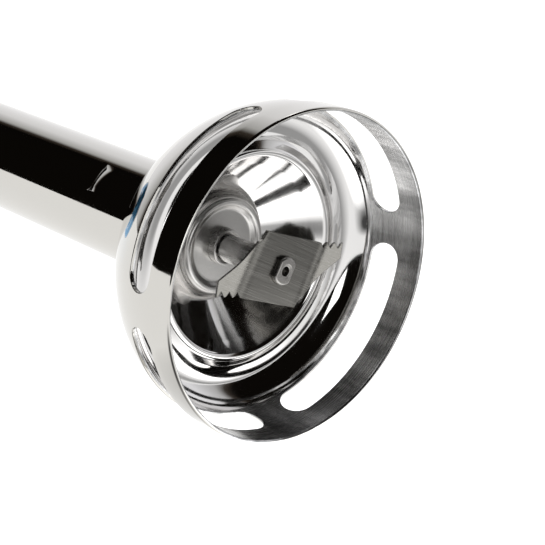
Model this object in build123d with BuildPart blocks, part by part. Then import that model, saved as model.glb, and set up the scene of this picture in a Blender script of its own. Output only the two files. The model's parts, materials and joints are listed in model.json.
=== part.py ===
"""Immersion blender: a motor handle and a detachable stainless steel blending rod.

The blender lies on its back on a flat surface.  The tool axis runs along X, the
bell's mouth faces +X, the buttons face +Z and the grip pad rests on Z = 0.
All sizes are millimetres.
"""
from math import cos, degrees, radians, sin, sqrt
import os

from build123d import *

os.makedirs("parts", exist_ok=True)

# ---------------------------------------------------------------- driving sizes
LENGTH = 390.0                 # whole blender, dial to bell rim
RIM_R = 34.0                   # outer radius of the bell, and height of the tool axis
RIM_X = LENGTH / 2
AXIS_Z = RIM_R

BELL_SHEET = 0.9               # thickness of the pressed guard
BELL_SKIRT = 4.5               # straight part of the bell behind the rim
SLOT_FRONT, SLOT_BACK = 6.2, 13.35     # distance of a slot's two long edges from the rim
SLOT_SPAN = 77.5               # degrees from tip to tip
SLOT_COUNT = 4

TUBE_R = 11.75
TUBE_WALL = 0.7
TUBE_FRONT = 35.0              # distance of the tube's front end from the rim
TUBE_BACK_X = 0.0
CRIMP_DEPTH = 58.0             # distance of the crimps from the rim
CRIMP_COUNT = 3
CRIMP_FIRST = 131.3            # degrees from +Y towards +Z

SHAFT_R = 2.9
RUN_FIT = 0.05                 # radial clearance of a shaft in its bush
SHAFT_TIP = 5.5                # distance of the shaft's end from the rim
SHAFT_FLATS = 4.3
SHAFT_BACK_X = -24.0

BLADE_FACE = 6.7               # distance of the blade's mouth-side face from the rim
BLADE_THICK = 1.2
BLADE_TURN = -31.1             # degrees: direction of the far wing, from +Y towards +Z
WING_FOLD = 7.9                # distance of each fold from the axis
WING_SLOPE = 32.0              # degrees
WING_REACH = 14.0

WALL = 2.2                     # thickness of the handle's shells
JOINT_GAP = 0.3                # space between the rod's collar and the handle
HANDLE_FRONT_X, HANDLE_BACK_X = -10.0, -184.0
# station x, half width, half height, height of the section's centre
HANDLE_SECTIONS = (
    (HANDLE_FRONT_X, 26.0, 26.0, AXIS_Z),
    (-38.0, 25.2, 25.0, AXIS_Z),
    (-72.0, 26.5, 26.0, 33.5),
    (-110.0, 29.5, 28.8, 32.6),
    (-145.0, 31.0, 30.0, 32.0),
    (-170.0, 29.4, 28.6, 32.0),
    (HANDLE_BACK_X, 26.4, 25.8, 32.2),
)
CAP_X = -191.5                 # flat end of the end cap

SOCKET_R = 19.3                # bore that takes the rod's spigot
SPIGOT_R = SOCKET_R - JOINT_GAP
COUPLING_FLATS = 10.0          # across the flats of the hexagonal drive

MOTOR_R = 22.0
MOTOR_SHAFT_R = 3.0
STATOR_BORE = 14.5
ROTOR_R = 14.1
CORE_FRONT_X, CORE_BACK_X = -64.0, -94.0

BUTTON_GAP = 0.35
SPEED_BUTTON_X, TURBO_BUTTON_X = -132.0, -157.0
BUTTON_LENGTH, BUTTON_WIDTH = 19.0, 15.0
PANEL_X, PANEL_LENGTH, PANEL_WIDTH = -144.5, 56.0, 25.0
BOARD_Z, BOARD_THICK = 44.0, 1.6

DIAL_Z, DIAL_R = 38.5, 11.0
INLET_Z, INLET_R = 16.5, 3.6

TOOL_AXIS = Axis((0, 0, AXIS_Z), (1, 0, 0))


# ---------------------------------------------------------------- helpers
def depth(distance):
    """Station x at a distance behind the bell's rim."""
    return RIM_X - distance


def radial_plane(angle):
    """Plane through the tool axis: local x along the axis, local y outwards at angle."""
    turn = radians(angle)
    return Plane(origin=(0, 0, AXIS_Z), x_dir=(1, 0, 0), z_dir=(0, -sin(turn), cos(turn)))


def cross_plane(x, z=AXIS_Z):
    """Plane across the tool: local x is +Y, local y is +Z, normal is +X."""
    return Plane(origin=(x, 0, z), x_dir=(0, 1, 0), z_dir=(1, 0, 0))


AXIS_PLANE = radial_plane(90)


def turned(*corners, axis_z=AXIS_Z):
    """Solid of revolution about the tool axis, or one parallel to it, from (x, r) corners."""
    plane = Plane(origin=(0, 0, axis_z), x_dir=(1, 0, 0), z_dir=(0, -1, 0))
    with BuildPart() as body:
        with BuildSketch(plane):
            with BuildLine():
                Polyline(*corners, close=True)
            make_face()
        revolve(axis=Axis((0, 0, axis_z), (1, 0, 0)))
    return body.part


def ring(x_front, x_back, r_in, r_out, axis_z=AXIS_Z):
    """Plain ring about the tool axis, or a disc where r_in is 0."""
    return turned((x_front, r_in), (x_front, r_out), (x_back, r_out), (x_back, r_in), axis_z=axis_z)


def sector(x_front, x_back, r_in, r_out, start, sweep_angle):
    """Part of a ring, from angle start and through sweep_angle degrees."""
    with BuildPart() as body:
        with BuildSketch(radial_plane(start)):
            with BuildLine():
                Polyline((x_front, r_in), (x_front, r_out), (x_back, r_out), (x_back, r_in), close=True)
            make_face()
        revolve(axis=TOOL_AXIS, revolution_arc=sweep_angle)
    return body.part


def block(x_low, x_high, y_low, y_high, z_low, z_high):
    """Box between two corners."""
    size = (x_high - x_low, y_high - y_low, z_high - z_low)
    centre = ((x_low + x_high) / 2, (y_low + y_high) / 2, (z_low + z_high) / 2)
    with BuildPart() as body:
        with Locations(centre):
            Box(*size)
    return body.part


def stadium(plane, length, width, height):
    """Prism with round ends, its length along the plane's x and its height along the normal."""
    with BuildPart() as body:
        with BuildSketch(plane):
            SlotOverall(length, width)
        extrude(amount=height)
    return body.part


def handle_body(stand_off):
    """The handle's outer form, moved out by stand_off all round."""
    with BuildPart() as body:
        for x, half_width, half_height, centre_z in HANDLE_SECTIONS:
            with BuildSketch(cross_plane(x, centre_z)):
                Ellipse(half_width + stand_off, half_height + stand_off)
        loft()
    return body.part


def keep(part, name):
    """Label a finished piece and write it to its own file."""
    part.label = name
    export_step(part, f"parts/{name}.step")


# ---------------------------------------------------------------- bell
def sphere_r(radius, distance):
    """Radius of a sphere about the end of the bell's skirt, at a distance behind the rim."""
    return sqrt(radius**2 - (distance - BELL_SKIRT)**2)


def sphere_distance(radius, r):
    """Distance behind the rim where that sphere has come in to radius r."""
    return BELL_SKIRT + sqrt(radius**2 - r**2)


def sphere_arc(radius, r_end):
    """Arc in the axis plane from the skirt to where the sphere meets radius r_end."""
    end = (depth(sphere_distance(radius, r_end)), r_end)
    middle_r = radius * cos(radians(35))
    middle = (depth(sphere_distance(radius, middle_r)), middle_r)
    return ThreePointArc((depth(BELL_SKIRT), radius), middle, end)


BELL_INNER_R = RIM_R - BELL_SHEET
SLOT_END_R = (SLOT_BACK - SLOT_FRONT) / 2
SLOT_MIDDLE = (SLOT_BACK + SLOT_FRONT) / 2
slot_end_angle = degrees(SLOT_END_R / RIM_R)
slot_half = SLOT_SPAN / 2 - slot_end_angle

CUT_INNER_R, CUT_OUTER_R = 26.0, 40.0   # the slot tools pass right through the guard

slot_tools = []
for index in range(SLOT_COUNT):
    middle_angle = 45 + index * 360 / SLOT_COUNT
    slot_tools.append(sector(depth(SLOT_FRONT), depth(SLOT_BACK), CUT_INNER_R, CUT_OUTER_R,
                             middle_angle - slot_half, 2 * slot_half))
    for end_angle in (middle_angle - slot_half, middle_angle + slot_half):
        turn = radians(end_angle)
        outwards = Plane(origin=(depth(SLOT_MIDDLE), 0, AXIS_Z), x_dir=(1, 0, 0),
                         z_dir=(0, cos(turn), sin(turn)))
        with BuildPart() as slot_end:
            with BuildSketch(outwards.offset(CUT_INNER_R)):
                Circle(SLOT_END_R)
            extrude(amount=CUT_OUTER_R - CUT_INNER_R)
        slot_tools.append(slot_end.part)

with BuildPart() as bell_guard:
    with BuildSketch(AXIS_PLANE):
        with BuildLine():
            outer = sphere_arc(RIM_R, TUBE_R)
            inner = sphere_arc(BELL_INNER_R, TUBE_R)
            Line(outer @ 1, inner @ 1)
            lip = BELL_SHEET / 2
            Line(outer @ 0, (RIM_X - lip, RIM_R))
            ThreePointArc((RIM_X - lip, RIM_R), (RIM_X, RIM_R - lip), (RIM_X - lip, BELL_INNER_R))
            Line((RIM_X - lip, BELL_INNER_R), inner @ 0)
        make_face()
    revolve(axis=TOOL_AXIS)
    for tool in slot_tools:
        add(tool, mode=Mode.SUBTRACT)
keep(bell_guard.part, "bell_guard")

# The liner closes the bell behind the slots: a round channel, a ridge, then a bowl.
LINER_SHEET = 0.8
LINER_EDGE = 13.7                        # distance of its edge from the rim
CHANNEL_DEPTH, CHANNEL_R = 18.0, 25.5    # the channel's lowest circle
RIDGE_DEPTH, RIDGE_R = 16.0, 21.4
BOWL_MIDDLE = (21.6, 15.8)
BOWL_DEPTH, BOWL_R = 26.0, 10.5


def channel_radius(distance, r):
    """Radius of the arc that is lowest at the channel and passes a point of the liner."""
    fall = CHANNEL_DEPTH - distance
    return (fall**2 + (r - CHANNEL_R)**2) / (2 * fall)


def channel_point(radius, lean, thick):
    """Point in the axis plane on that arc, at an angle from its lowest point, moved back by thick."""
    turn = radians(lean)
    distance = CHANNEL_DEPTH - radius + (radius + thick) * cos(turn)
    return (depth(distance), CHANNEL_R + (radius + thick) * sin(turn))


edge_r = sphere_r(BELL_INNER_R, LINER_EDGE)
outer_bend = channel_radius(LINER_EDGE, edge_r)
ridge_bend = channel_radius(RIDGE_DEPTH, RIDGE_R)
EDGE_LEAN, BACK_LEAN, RIDGE_LEAN = 45, 64, 20    # places along the arcs, in degrees

with BuildPart() as bell_liner:
    with BuildSketch(AXIS_PLANE):
        with BuildLine():
            edge = (depth(LINER_EDGE), edge_r)
            lowest = channel_point(outer_bend, 0, 0)
            ridge = (depth(RIDGE_DEPTH), RIDGE_R)
            bowl = (depth(BOWL_DEPTH), BOWL_R)
            ridge_back = (depth(RIDGE_DEPTH + 1.2), RIDGE_R + 0.1)
            bowl_back = (depth(BOWL_DEPTH + 1.1), BOWL_R)
            lowest_back = channel_point(outer_bend, 0, LINER_SHEET)
            edge_back = channel_point(outer_bend, BACK_LEAN, LINER_SHEET)
            ThreePointArc(edge, channel_point(outer_bend, EDGE_LEAN, 0), lowest)
            ThreePointArc(lowest, channel_point(ridge_bend, -RIDGE_LEAN, 0), ridge)
            ThreePointArc(ridge, (depth(BOWL_MIDDLE[0]), BOWL_MIDDLE[1]), bowl)
            Line(bowl, bowl_back)
            ThreePointArc(bowl_back, (depth(BOWL_MIDDLE[0] + 0.6), BOWL_MIDDLE[1] + 0.65), ridge_back)
            ThreePointArc(ridge_back, channel_point(ridge_bend, -RIDGE_LEAN, LINER_SHEET), lowest_back)
            ThreePointArc(lowest_back, channel_point(outer_bend, EDGE_LEAN, LINER_SHEET), edge_back)
            Line(edge_back, edge)
        make_face()
    revolve(axis=TOOL_AXIS)
    with Locations((depth(BELL_SKIRT), 0, AXIS_Z)):
        Sphere(BELL_INNER_R, mode=Mode.INTERSECT)
keep(bell_liner.part, "bell_liner")

# ---------------------------------------------------------------- rod: bush carrier, bush, seal
BUSH_R = 3.8
BUSH_BORE = SHAFT_R + RUN_FIT
CARRIER_FACE = 25.0
CARRIER_BACK = 64.0
CARRIER_SHOULDER = 33.5
GROOVE_HALF, GROOVE_R = 3.0, 9.9          # groove that the tube is crimped into
CARRIER_BORE = 4.4
HUB_INNER, HUB_CREST, HUB_OUTER = (24.4, 8.5), (23.9, 9.4), (24.5, 10.3)
SEAL_FRONT, SEAL_BACK, SEAL_R = 42.0, 49.0, 8.0
PLUG_R = TUBE_R - TUBE_WALL

with BuildPart() as bush_carrier:
    with BuildSketch(AXIS_PLANE):
        with BuildLine():
            hub = [(depth(distance), r) for distance, r in (HUB_INNER, HUB_CREST, HUB_OUTER)]
            Polyline((depth(CARRIER_FACE), BUSH_R), (depth(CARRIER_FACE), 7.7), hub[0])
            ThreePointArc(*hub)
            Polyline(hub[2], (depth(BOWL_DEPTH), BOWL_R), (depth(CARRIER_SHOULDER), BOWL_R),
                     (depth(CARRIER_SHOULDER), TUBE_R), (depth(TUBE_FRONT), TUBE_R),
                     (depth(TUBE_FRONT), PLUG_R), (depth(CRIMP_DEPTH - GROOVE_HALF), PLUG_R),
                     (depth(CRIMP_DEPTH - GROOVE_HALF), GROOVE_R),
                     (depth(CRIMP_DEPTH + GROOVE_HALF), GROOVE_R),
                     (depth(CRIMP_DEPTH + GROOVE_HALF), PLUG_R),
                     (depth(CARRIER_BACK), PLUG_R), (depth(CARRIER_BACK), CARRIER_BORE),
                     (depth(SEAL_BACK), CARRIER_BORE), (depth(SEAL_BACK), SEAL_R),
                     (depth(SEAL_FRONT), SEAL_R), (depth(SEAL_FRONT), BUSH_R),
                     (depth(CARRIER_FACE), BUSH_R))
        make_face()
    revolve(axis=TOOL_AXIS)
keep(bush_carrier.part, "bush_carrier")

lower_bush = turned(
    (depth(23.0), 3.35), (depth(23.0), BUSH_R - 0.2), (depth(23.2), BUSH_R), (depth(SEAL_FRONT), BUSH_R),
    (depth(SEAL_FRONT), BUSH_BORE), (depth(24.2), BUSH_BORE), (depth(24.2), 3.35))
keep(lower_bush, "lower_bush")

shaft_seal = turned(
    (depth(SEAL_FRONT), BUSH_BORE), (depth(SEAL_FRONT), SEAL_R), (depth(SEAL_BACK), SEAL_R),
    (depth(SEAL_BACK), 6.2), (depth(44.5), 5.4), (depth(44.5), 4.0), (depth(47.5), 3.4),
    (depth(47.5), BUSH_BORE))
keep(shaft_seal, "shaft_seal")

THRUST_THICK = 0.8
thrust_washer = ring(depth(CARRIER_BACK), depth(CARRIER_BACK + THRUST_THICK), 3.1, 7.5)
keep(thrust_washer, "thrust_washer")

# The tube is crimped inwards at three places, into the carrier's groove.
CRIMP_R, CRIMP_RISE = 3.2, 2.6          # the crimping tool's nose and its centre's height
CRIMP_SWEEP = 22.0                      # degrees between the centres of a crimp's two ends


def crimp(nose_r, start):
    """A bar with round ends, bent round the tube."""
    with BuildPart() as tool:
        with BuildSketch(radial_plane(start)):
            with Locations((depth(CRIMP_DEPTH), TUBE_R + CRIMP_RISE)):
                Circle(nose_r)
        revolve(axis=TOOL_AXIS, revolution_arc=CRIMP_SWEEP)
        for angle in (start, start + CRIMP_SWEEP):
            turn = radians(angle)
            reach = TUBE_R + CRIMP_RISE
            with Locations((depth(CRIMP_DEPTH), reach * cos(turn), AXIS_Z + reach * sin(turn))):
                Sphere(nose_r)
    return tool.part


crimp_starts = [CRIMP_FIRST - CRIMP_SWEEP / 2 + index * 360 / CRIMP_COUNT for index in range(CRIMP_COUNT)]
crimp_noses = [crimp(CRIMP_R, start) for start in crimp_starts]
crimp_backs = [crimp(CRIMP_R + TUBE_WALL, start) for start in crimp_starts]

# Each pad is the tube's own wall, pushed in ahead of the tool's nose.
CRIMP_BAND = 2.9                        # half the width of a pad along the tube
PAD_INNER_R = 10.2

with BuildPart() as pad_band:
    add(ring(depth(CRIMP_DEPTH - CRIMP_BAND), depth(CRIMP_DEPTH + CRIMP_BAND), PAD_INNER_R, TUBE_R))
with BuildPart() as crimp_pads:
    for back in crimp_backs:
        add(back)
    add(pad_band.part, mode=Mode.INTERSECT)
with BuildPart() as shaft_tube:
    add(ring(depth(TUBE_FRONT), TUBE_BACK_X, PLUG_R, TUBE_R))
    add(crimp_pads.part)
    for nose in crimp_noses:
        add(nose, mode=Mode.SUBTRACT)
keep(shaft_tube.part, "shaft_tube")

# ---------------------------------------------------------------- rod: collar
COLLAR_FRONT_X, COLLAR_BACK_X = 30.0, HANDLE_FRONT_X + 2 + JOINT_GAP
COLLAR_R = 26.0
SPIGOT_BACK_X = -26.0
TRIM_WIDTH, TRIM_DEEP = 3.0, 2.0
UPPER_BUSH_R, UPPER_BUSH_BACK_X = 6.0, -9.0
COLLAR_CUP_R = 15.5

with BuildPart() as rod_collar:
    with BuildSketch(AXIS_PLANE):
        with BuildLine():
            trim_x = COLLAR_BACK_X + TRIM_WIDTH
            Line((COLLAR_FRONT_X, TUBE_R), (COLLAR_FRONT_X, TUBE_R + 1.2))
            Spline((COLLAR_FRONT_X, TUBE_R + 1.2), (16, 16.4), (trim_x, COLLAR_R - 0.3),
                   tangents=[(-1, 0.12), (-1, 0.12)])
            Polyline((trim_x, COLLAR_R - 0.3), (trim_x, COLLAR_R - TRIM_DEEP),
                     (COLLAR_BACK_X, COLLAR_R - TRIM_DEEP), (COLLAR_BACK_X, SPIGOT_R),
                     (SPIGOT_BACK_X + 1, SPIGOT_R), (SPIGOT_BACK_X, SPIGOT_R - 1),
                     (SPIGOT_BACK_X, COLLAR_CUP_R), (UPPER_BUSH_BACK_X, COLLAR_CUP_R),
                     (UPPER_BUSH_BACK_X, UPPER_BUSH_R), (TUBE_BACK_X, UPPER_BUSH_R),
                     (TUBE_BACK_X, TUBE_R), (COLLAR_FRONT_X, TUBE_R))
        make_face()
    revolve(axis=TOOL_AXIS)
keep(rod_collar.part, "rod_collar")

collar_trim = turned(
    (trim_x, COLLAR_R - TRIM_DEEP), (trim_x, COLLAR_R), (trim_x - 0.6, COLLAR_R + 0.25),
    (COLLAR_BACK_X + 0.6, COLLAR_R + 0.25), (COLLAR_BACK_X, COLLAR_R), (COLLAR_BACK_X, COLLAR_R - TRIM_DEEP))
keep(collar_trim, "collar_trim")

upper_bush = ring(TUBE_BACK_X, UPPER_BUSH_BACK_X, BUSH_BORE, UPPER_BUSH_R)
keep(upper_bush, "upper_bush")

# ---------------------------------------------------------------- blade train
turn = radians(BLADE_TURN)
LONG = Vector(0, cos(turn), sin(turn))            # from the axis to the far wing's tip
BLADE_PLANE = Plane(origin=(depth(BLADE_FACE), 0, AXIS_Z), x_dir=LONG, z_dir=(1, 0, 0))
CIRCLIP_FRONT = CARRIER_BACK + THRUST_THICK + 0.1
CIRCLIP_BACK = CIRCLIP_FRONT + 0.8
CIRCLIP_SEAT_R, CIRCLIP_R = 2.5, 5.2
CENTRE_HOLE_R, CENTRE_HOLE_DEEP = 1.15, 1.4

with BuildPart() as drive_shaft:
    with BuildSketch(AXIS_PLANE):
        with BuildLine():
            Polyline((depth(SHAFT_TIP), 0), (depth(SHAFT_TIP), SHAFT_R - 0.3),
                     (depth(SHAFT_TIP + 0.3), SHAFT_R), (depth(CIRCLIP_FRONT), SHAFT_R),
                     (depth(CIRCLIP_FRONT), CIRCLIP_SEAT_R), (depth(CIRCLIP_BACK), CIRCLIP_SEAT_R),
                     (depth(CIRCLIP_BACK), SHAFT_R), (SHAFT_BACK_X, SHAFT_R), (SHAFT_BACK_X, 0), close=True)
        make_face()
    revolve(axis=TOOL_AXIS)
    flats_length = BLADE_FACE + BLADE_THICK - SHAFT_TIP
    with BuildSketch(BLADE_PLANE.offset(-BLADE_THICK)):
        Rectangle(4 * SHAFT_R, 4 * SHAFT_R)
        Rectangle(SHAFT_FLATS, 4 * SHAFT_R, mode=Mode.SUBTRACT)
    extrude(amount=flats_length + 1, mode=Mode.SUBTRACT)
    with BuildSketch(cross_plane(depth(SHAFT_TIP))):
        Circle(CENTRE_HOLE_R)
    extrude(amount=-CENTRE_HOLE_DEEP, taper=12, mode=Mode.SUBTRACT)
keep(drive_shaft.part, "drive_shaft")

# The blade is a bent strip: one half of its outline is drawn, and the other is its half turn.
PLATE_CORNER = (7.4, -6.0)         # corner beside the notch behind a wing
PLATE_TOOTH_CORNER = (7.6, 8.1)
WING_ROOT = (8.3, -2.7)
RAKE_MIDDLE = (9.9, 1.9)
TIP_BACK = (12.1, 6.7)
TIP_FRONT = (11.4, 9.8)
NOTCH_MIDDLE = (7.65, -4.1)
TOOTH_COUNT, TOOTH_DEEP = 3, 1.1
VALLEY_SHARE = 0.72                # where a tooth's valley lies along its pitch
FLATS_FIT = 0.02                   # gap between the shaft's end and the blade's hole
BEND_RADIUS = 2.2
BLADE_REACH = 12.0                 # the wings stay within this distance of the plate


def half_turn(point):
    return (-point[0], -point[1])


def tooth_line():
    """Corners along a wing's toothed edge, from its tip back to the plate."""
    start, end = Vector(*TIP_FRONT), Vector(*PLATE_TOOTH_CORNER)
    along = (end - start) / TOOTH_COUNT
    inwards = Vector(along.Y, -along.X).normalized() * -TOOTH_DEEP
    corners = []
    for tooth in range(TOOTH_COUNT):
        crest = start + along * tooth
        valley = crest + along * VALLEY_SHARE + inwards
        corners += [(crest.X, crest.Y), (valley.X, valley.Y)]
    return corners + [PLATE_TOOTH_CORNER]


with BuildPart() as blade:
    with BuildSketch(BLADE_PLANE.offset(-BLADE_REACH)):
        with BuildLine():
            for side in (tuple, half_turn):
                ThreePointArc(side(PLATE_CORNER), side(NOTCH_MIDDLE), side(WING_ROOT))
                Spline(side(WING_ROOT), side(RAKE_MIDDLE), side(TIP_BACK))
                Line(side(TIP_BACK), side(TIP_FRONT))
                Polyline(*[side(corner) for corner in tooth_line()])
            Line(PLATE_TOOTH_CORNER, half_turn(PLATE_CORNER))
            Line(half_turn(PLATE_TOOTH_CORNER), PLATE_CORNER)
        make_face()
    extrude(amount=2 * BLADE_REACH)
    with BuildSketch(BLADE_PLANE.offset(-BLADE_REACH)):
        Circle(SHAFT_R + FLATS_FIT)
        Rectangle(SHAFT_FLATS + 2 * FLATS_FIT, 4 * SHAFT_R, mode=Mode.INTERSECT)
    extrude(amount=2 * BLADE_REACH, mode=Mode.SUBTRACT)
    # Side view of the strip: the plate between two bends, one wing back and one forward.
    side_plane = Plane(origin=(depth(BLADE_FACE + BLADE_THICK / 2), 0, AXIS_Z), x_dir=LONG,
                       z_dir=LONG.cross(Vector(1, 0, 0)))
    with BuildSketch(side_plane):
        with BuildLine():
            rise = (WING_REACH - WING_FOLD) * sin(radians(WING_SLOPE)) / cos(radians(WING_SLOPE))
            FilletPolyline((-WING_REACH, -rise), (-WING_FOLD, 0), (WING_FOLD, 0), (WING_REACH, rise),
                           radius=BEND_RADIUS)
            offset(amount=BLADE_THICK / 2, side=Side.BOTH)
        make_face()
    extrude(amount=20, both=True, mode=Mode.INTERSECT)
keep(blade.part, "blade")

with BuildPart() as shaft_circlip:
    add(ring(depth(CIRCLIP_FRONT), depth(CIRCLIP_BACK), CIRCLIP_SEAT_R, CIRCLIP_R))
    with BuildSketch(cross_plane(depth(CIRCLIP_BACK) - 1)):
        with Locations((0, 5)):
            Rectangle(2.2, 8)
    extrude(amount=3, mode=Mode.SUBTRACT)
keep(shaft_circlip.part, "shaft_circlip")

with BuildPart() as driven_coupling:
    with BuildSketch(cross_plane(-30.5)):
        RegularPolygon(COUPLING_FLATS / 2, 6, major_radius=False)
    extrude(amount=16.5)
    chamfer(driven_coupling.faces().sort_by(Axis.X)[0].edges(), length=1.2)
    add(ring(-12, SHAFT_BACK_X, 0, SHAFT_R), mode=Mode.SUBTRACT)
keep(driven_coupling.part, "driven_coupling")

# ---------------------------------------------------------------- handle: shells
handle_skin = handle_body(0)
handle_cavity = handle_body(-WALL)
SCREW_R = 1.5
BOSS_R = 3.3
SCREW_HEAD_R, SCREW_HEAD_THICK = 2.9, 2.2
# x, y, and the height where the head bears on its boss
SCREW_PLACES = [(x, y, seat) for x, seat in ((-35.5, 19.5), (-123.5, 12.5)) for y in (-16.5, 16.5)]
RIB_STATIONS = ((-47.2, -49.6), (-97.0, -99.5))


def release_window(side, gap):
    """Prism for a side button at side -1 or +1, gap smaller all round than its window."""
    plane = Plane(origin=(-24.0, side * 18.0, AXIS_Z), x_dir=(1, 0, 0), z_dir=(0, side, 0))
    return stadium(plane, 21 - 2 * gap, 13 - 2 * gap, 20)


def button_prism(x, gap, low_z, height):
    """Prism for a top button, gap smaller all round than its window."""
    plane = Plane(origin=(x, 0, low_z), x_dir=(1, 0, 0), z_dir=(0, 0, 1))
    return stadium(plane, BUTTON_LENGTH - 2 * gap, BUTTON_WIDTH - 2 * gap, height)


def panel_prism(gap=0.0):
    plane = Plane(origin=(PANEL_X, 0, AXIS_Z + 12), x_dir=(1, 0, 0), z_dir=(0, 0, 1))
    return stadium(plane, PANEL_LENGTH - 2 * gap, PANEL_WIDTH - 2 * gap, 30)


# Two half rings in each shell carry the motor's brackets.
with BuildPart() as motor_ribs:
    for front, back in RIB_STATIONS:
        add(ring(front, back, MOTOR_R + 0.1, 34))
    add(handle_body(-WALL + 0.4), mode=Mode.INTERSECT)

PARTING_GROOVE = 0.25
with BuildPart() as parting_groove:
    add(block(HANDLE_BACK_X - 1, HANDLE_FRONT_X + 1, -40, 40,
              AXIS_Z - PARTING_GROOVE, AXIS_Z + PARTING_GROOVE))
    add(handle_body(-0.5), mode=Mode.SUBTRACT)

with BuildPart() as shell_blank:
    add(handle_skin)
    add(handle_cavity, mode=Mode.SUBTRACT)
    add(motor_ribs.part)
    add(parting_groove.part, mode=Mode.SUBTRACT)
    for side in (-1, 1):
        add(release_window(side, 0), mode=Mode.SUBTRACT)

with BuildPart() as bosses:
    for x, y, seat in SCREW_PLACES:
        with BuildSketch(Plane(origin=(x, y, 0))):
            Circle(BOSS_R)
        extrude(amount=70)
    add(handle_body(-WALL / 2), mode=Mode.INTERSECT)

with BuildPart() as front_shell:
    add(shell_blank.part)
    add(bosses.part)
    add(block(-200, 10, -40, 40, -1, AXIS_Z), mode=Mode.SUBTRACT)
    add(panel_prism(), mode=Mode.SUBTRACT)
    for x, y, seat in SCREW_PLACES:
        with BuildSketch(Plane(origin=(x, y, 0))):
            Circle(SCREW_R)
        extrude(amount=AXIS_Z + 14, mode=Mode.SUBTRACT)
keep(front_shell.part, "front_shell")

with BuildPart() as back_shell:
    add(shell_blank.part)
    add(bosses.part)
    add(block(-200, 10, -40, 40, AXIS_Z, 80), mode=Mode.SUBTRACT)
    for x, y, seat in SCREW_PLACES:
        with BuildSketch(Plane(origin=(x, y, 0))):
            Circle(SCREW_R + 0.2)
        extrude(amount=AXIS_Z + 1, mode=Mode.SUBTRACT)
        with BuildSketch(Plane(origin=(x, y, 0))):
            Circle(SCREW_HEAD_R + 0.2)
        extrude(amount=seat, mode=Mode.SUBTRACT)
keep(back_shell.part, "back_shell")

with BuildPart() as housing_screws:
    for x, y, seat in SCREW_PLACES:
        with BuildSketch(Plane(origin=(x, y, seat - SCREW_HEAD_THICK))):
            Circle(SCREW_HEAD_R)
        extrude(amount=SCREW_HEAD_THICK)
        with BuildSketch(Plane(origin=(x, y, seat))):
            Circle(SCREW_R)
        extrude(amount=AXIS_Z + 12 - seat)
        with BuildSketch(Plane(origin=(x, y, seat - SCREW_HEAD_THICK))):
            Rectangle(3.4, 0.8)
            Rectangle(0.8, 3.4)
        extrude(amount=1.2, mode=Mode.SUBTRACT)
keep(housing_screws.part, "housing_screws")

GRIP_FRONT_X, GRIP_BACK_X, GRIP_WIDTH = -80.0, -171.0, 27.0
with BuildPart() as back_grip:
    with BuildSketch(Plane.XZ):
        with BuildLine():
            Polyline((GRIP_FRONT_X + 1, 6.0), (-104.0, 0.0), (-164.0, 0.0), (GRIP_BACK_X - 1, 2.6),
                     (GRIP_BACK_X - 1, 22.0), (GRIP_FRONT_X + 1, 22.0), close=True)
        make_face()
    extrude(amount=GRIP_WIDTH, both=True)
    grip_middle = Plane(origin=((GRIP_FRONT_X + GRIP_BACK_X) / 2, 0, -1))
    add(stadium(grip_middle, GRIP_FRONT_X - GRIP_BACK_X, GRIP_WIDTH, 30), mode=Mode.INTERSECT)
    add(handle_skin, mode=Mode.SUBTRACT)
keep(back_grip.part, "back_grip")

with BuildPart() as button_panel:
    add(handle_body(0.7))
    add(panel_prism(0.02), mode=Mode.INTERSECT)
    add(handle_cavity, mode=Mode.SUBTRACT)
    for x in (SPEED_BUTTON_X, TURBO_BUTTON_X):
        add(button_prism(x, 0, AXIS_Z, 40), mode=Mode.SUBTRACT)
keep(button_panel.part, "button_panel")

# ---------------------------------------------------------------- handle: buttons
FLANGE_Z, FLANGE_THICK = 55.9, 1.3
STEM_R, STEM_Z = 1.5, 54.8
SWITCH_HEIGHT, PLUNGER_HEIGHT = 6.4, 1.0
SWITCH_TOP_Z = BOARD_Z + BOARD_THICK + SWITCH_HEIGHT


def top_button(x, rise):
    """A button with a crowned top, a retaining flange and a stem over its switch."""
    with BuildPart() as cap:
        add(handle_body(rise))
        add(button_prism(x, BUTTON_GAP, FLANGE_Z, 30), mode=Mode.INTERSECT)
        crown = cap.faces().filter_by(Plane.XY, reverse=True).group_by(Axis.Z)[-1]
        fillet(crown.edges(), radius=1.0)
        add(button_prism(x, -1.4, FLANGE_Z, FLANGE_THICK))
        with BuildSketch(Plane(origin=(x, 0, STEM_Z))):
            Circle(STEM_R)
        extrude(amount=FLANGE_Z - STEM_Z)
    return cap.part


keep(top_button(SPEED_BUTTON_X, 2.6), "speed_button")
keep(top_button(TURBO_BUTTON_X, 2.6), "turbo_button")


def button_spring(x):
    """Compression spring between a switch's top and its button's flange."""
    coil_r, wire_r, turns = 2.6, 0.25, 3      # coils touch at 2.0 mm; the pressed button leaves 2.3 mm
    foot = SWITCH_TOP_Z + wire_r + 0.02
    top = FLANGE_Z - wire_r - 0.02
    with BuildPart() as coil:
        with BuildLine(Plane(origin=(x, 0, foot))):
            wire = Helix(pitch=(top - foot) / turns, height=top - foot, radius=coil_r)
        with BuildSketch(Plane(origin=wire @ 0, z_dir=wire % 0)):
            Circle(wire_r)
        sweep(path=wire)
    return coil.part


keep(button_spring(SPEED_BUTTON_X), "speed_button_spring")
keep(button_spring(TURBO_BUTTON_X), "turbo_button_spring")


def release_button(side):
    """A side button with finger ridges, over the rod's socket."""
    with BuildPart() as cap:
        add(handle_body(1.3))
        add(release_window(side, BUTTON_GAP), mode=Mode.INTERSECT)
        add(ring(0, -60, 0, 22.8), mode=Mode.SUBTRACT)
        for x in (-29.5, -26.5, -23.5, -20.5, -17.5):
            with BuildSketch(Plane(origin=(x, side * 27.1, AXIS_Z))):
                Circle(0.75)
            extrude(amount=3.6, both=True, mode=Mode.SUBTRACT)
    return cap.part


keep(release_button(-1), "release_button_right")
keep(release_button(1), "release_button_left")

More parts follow.
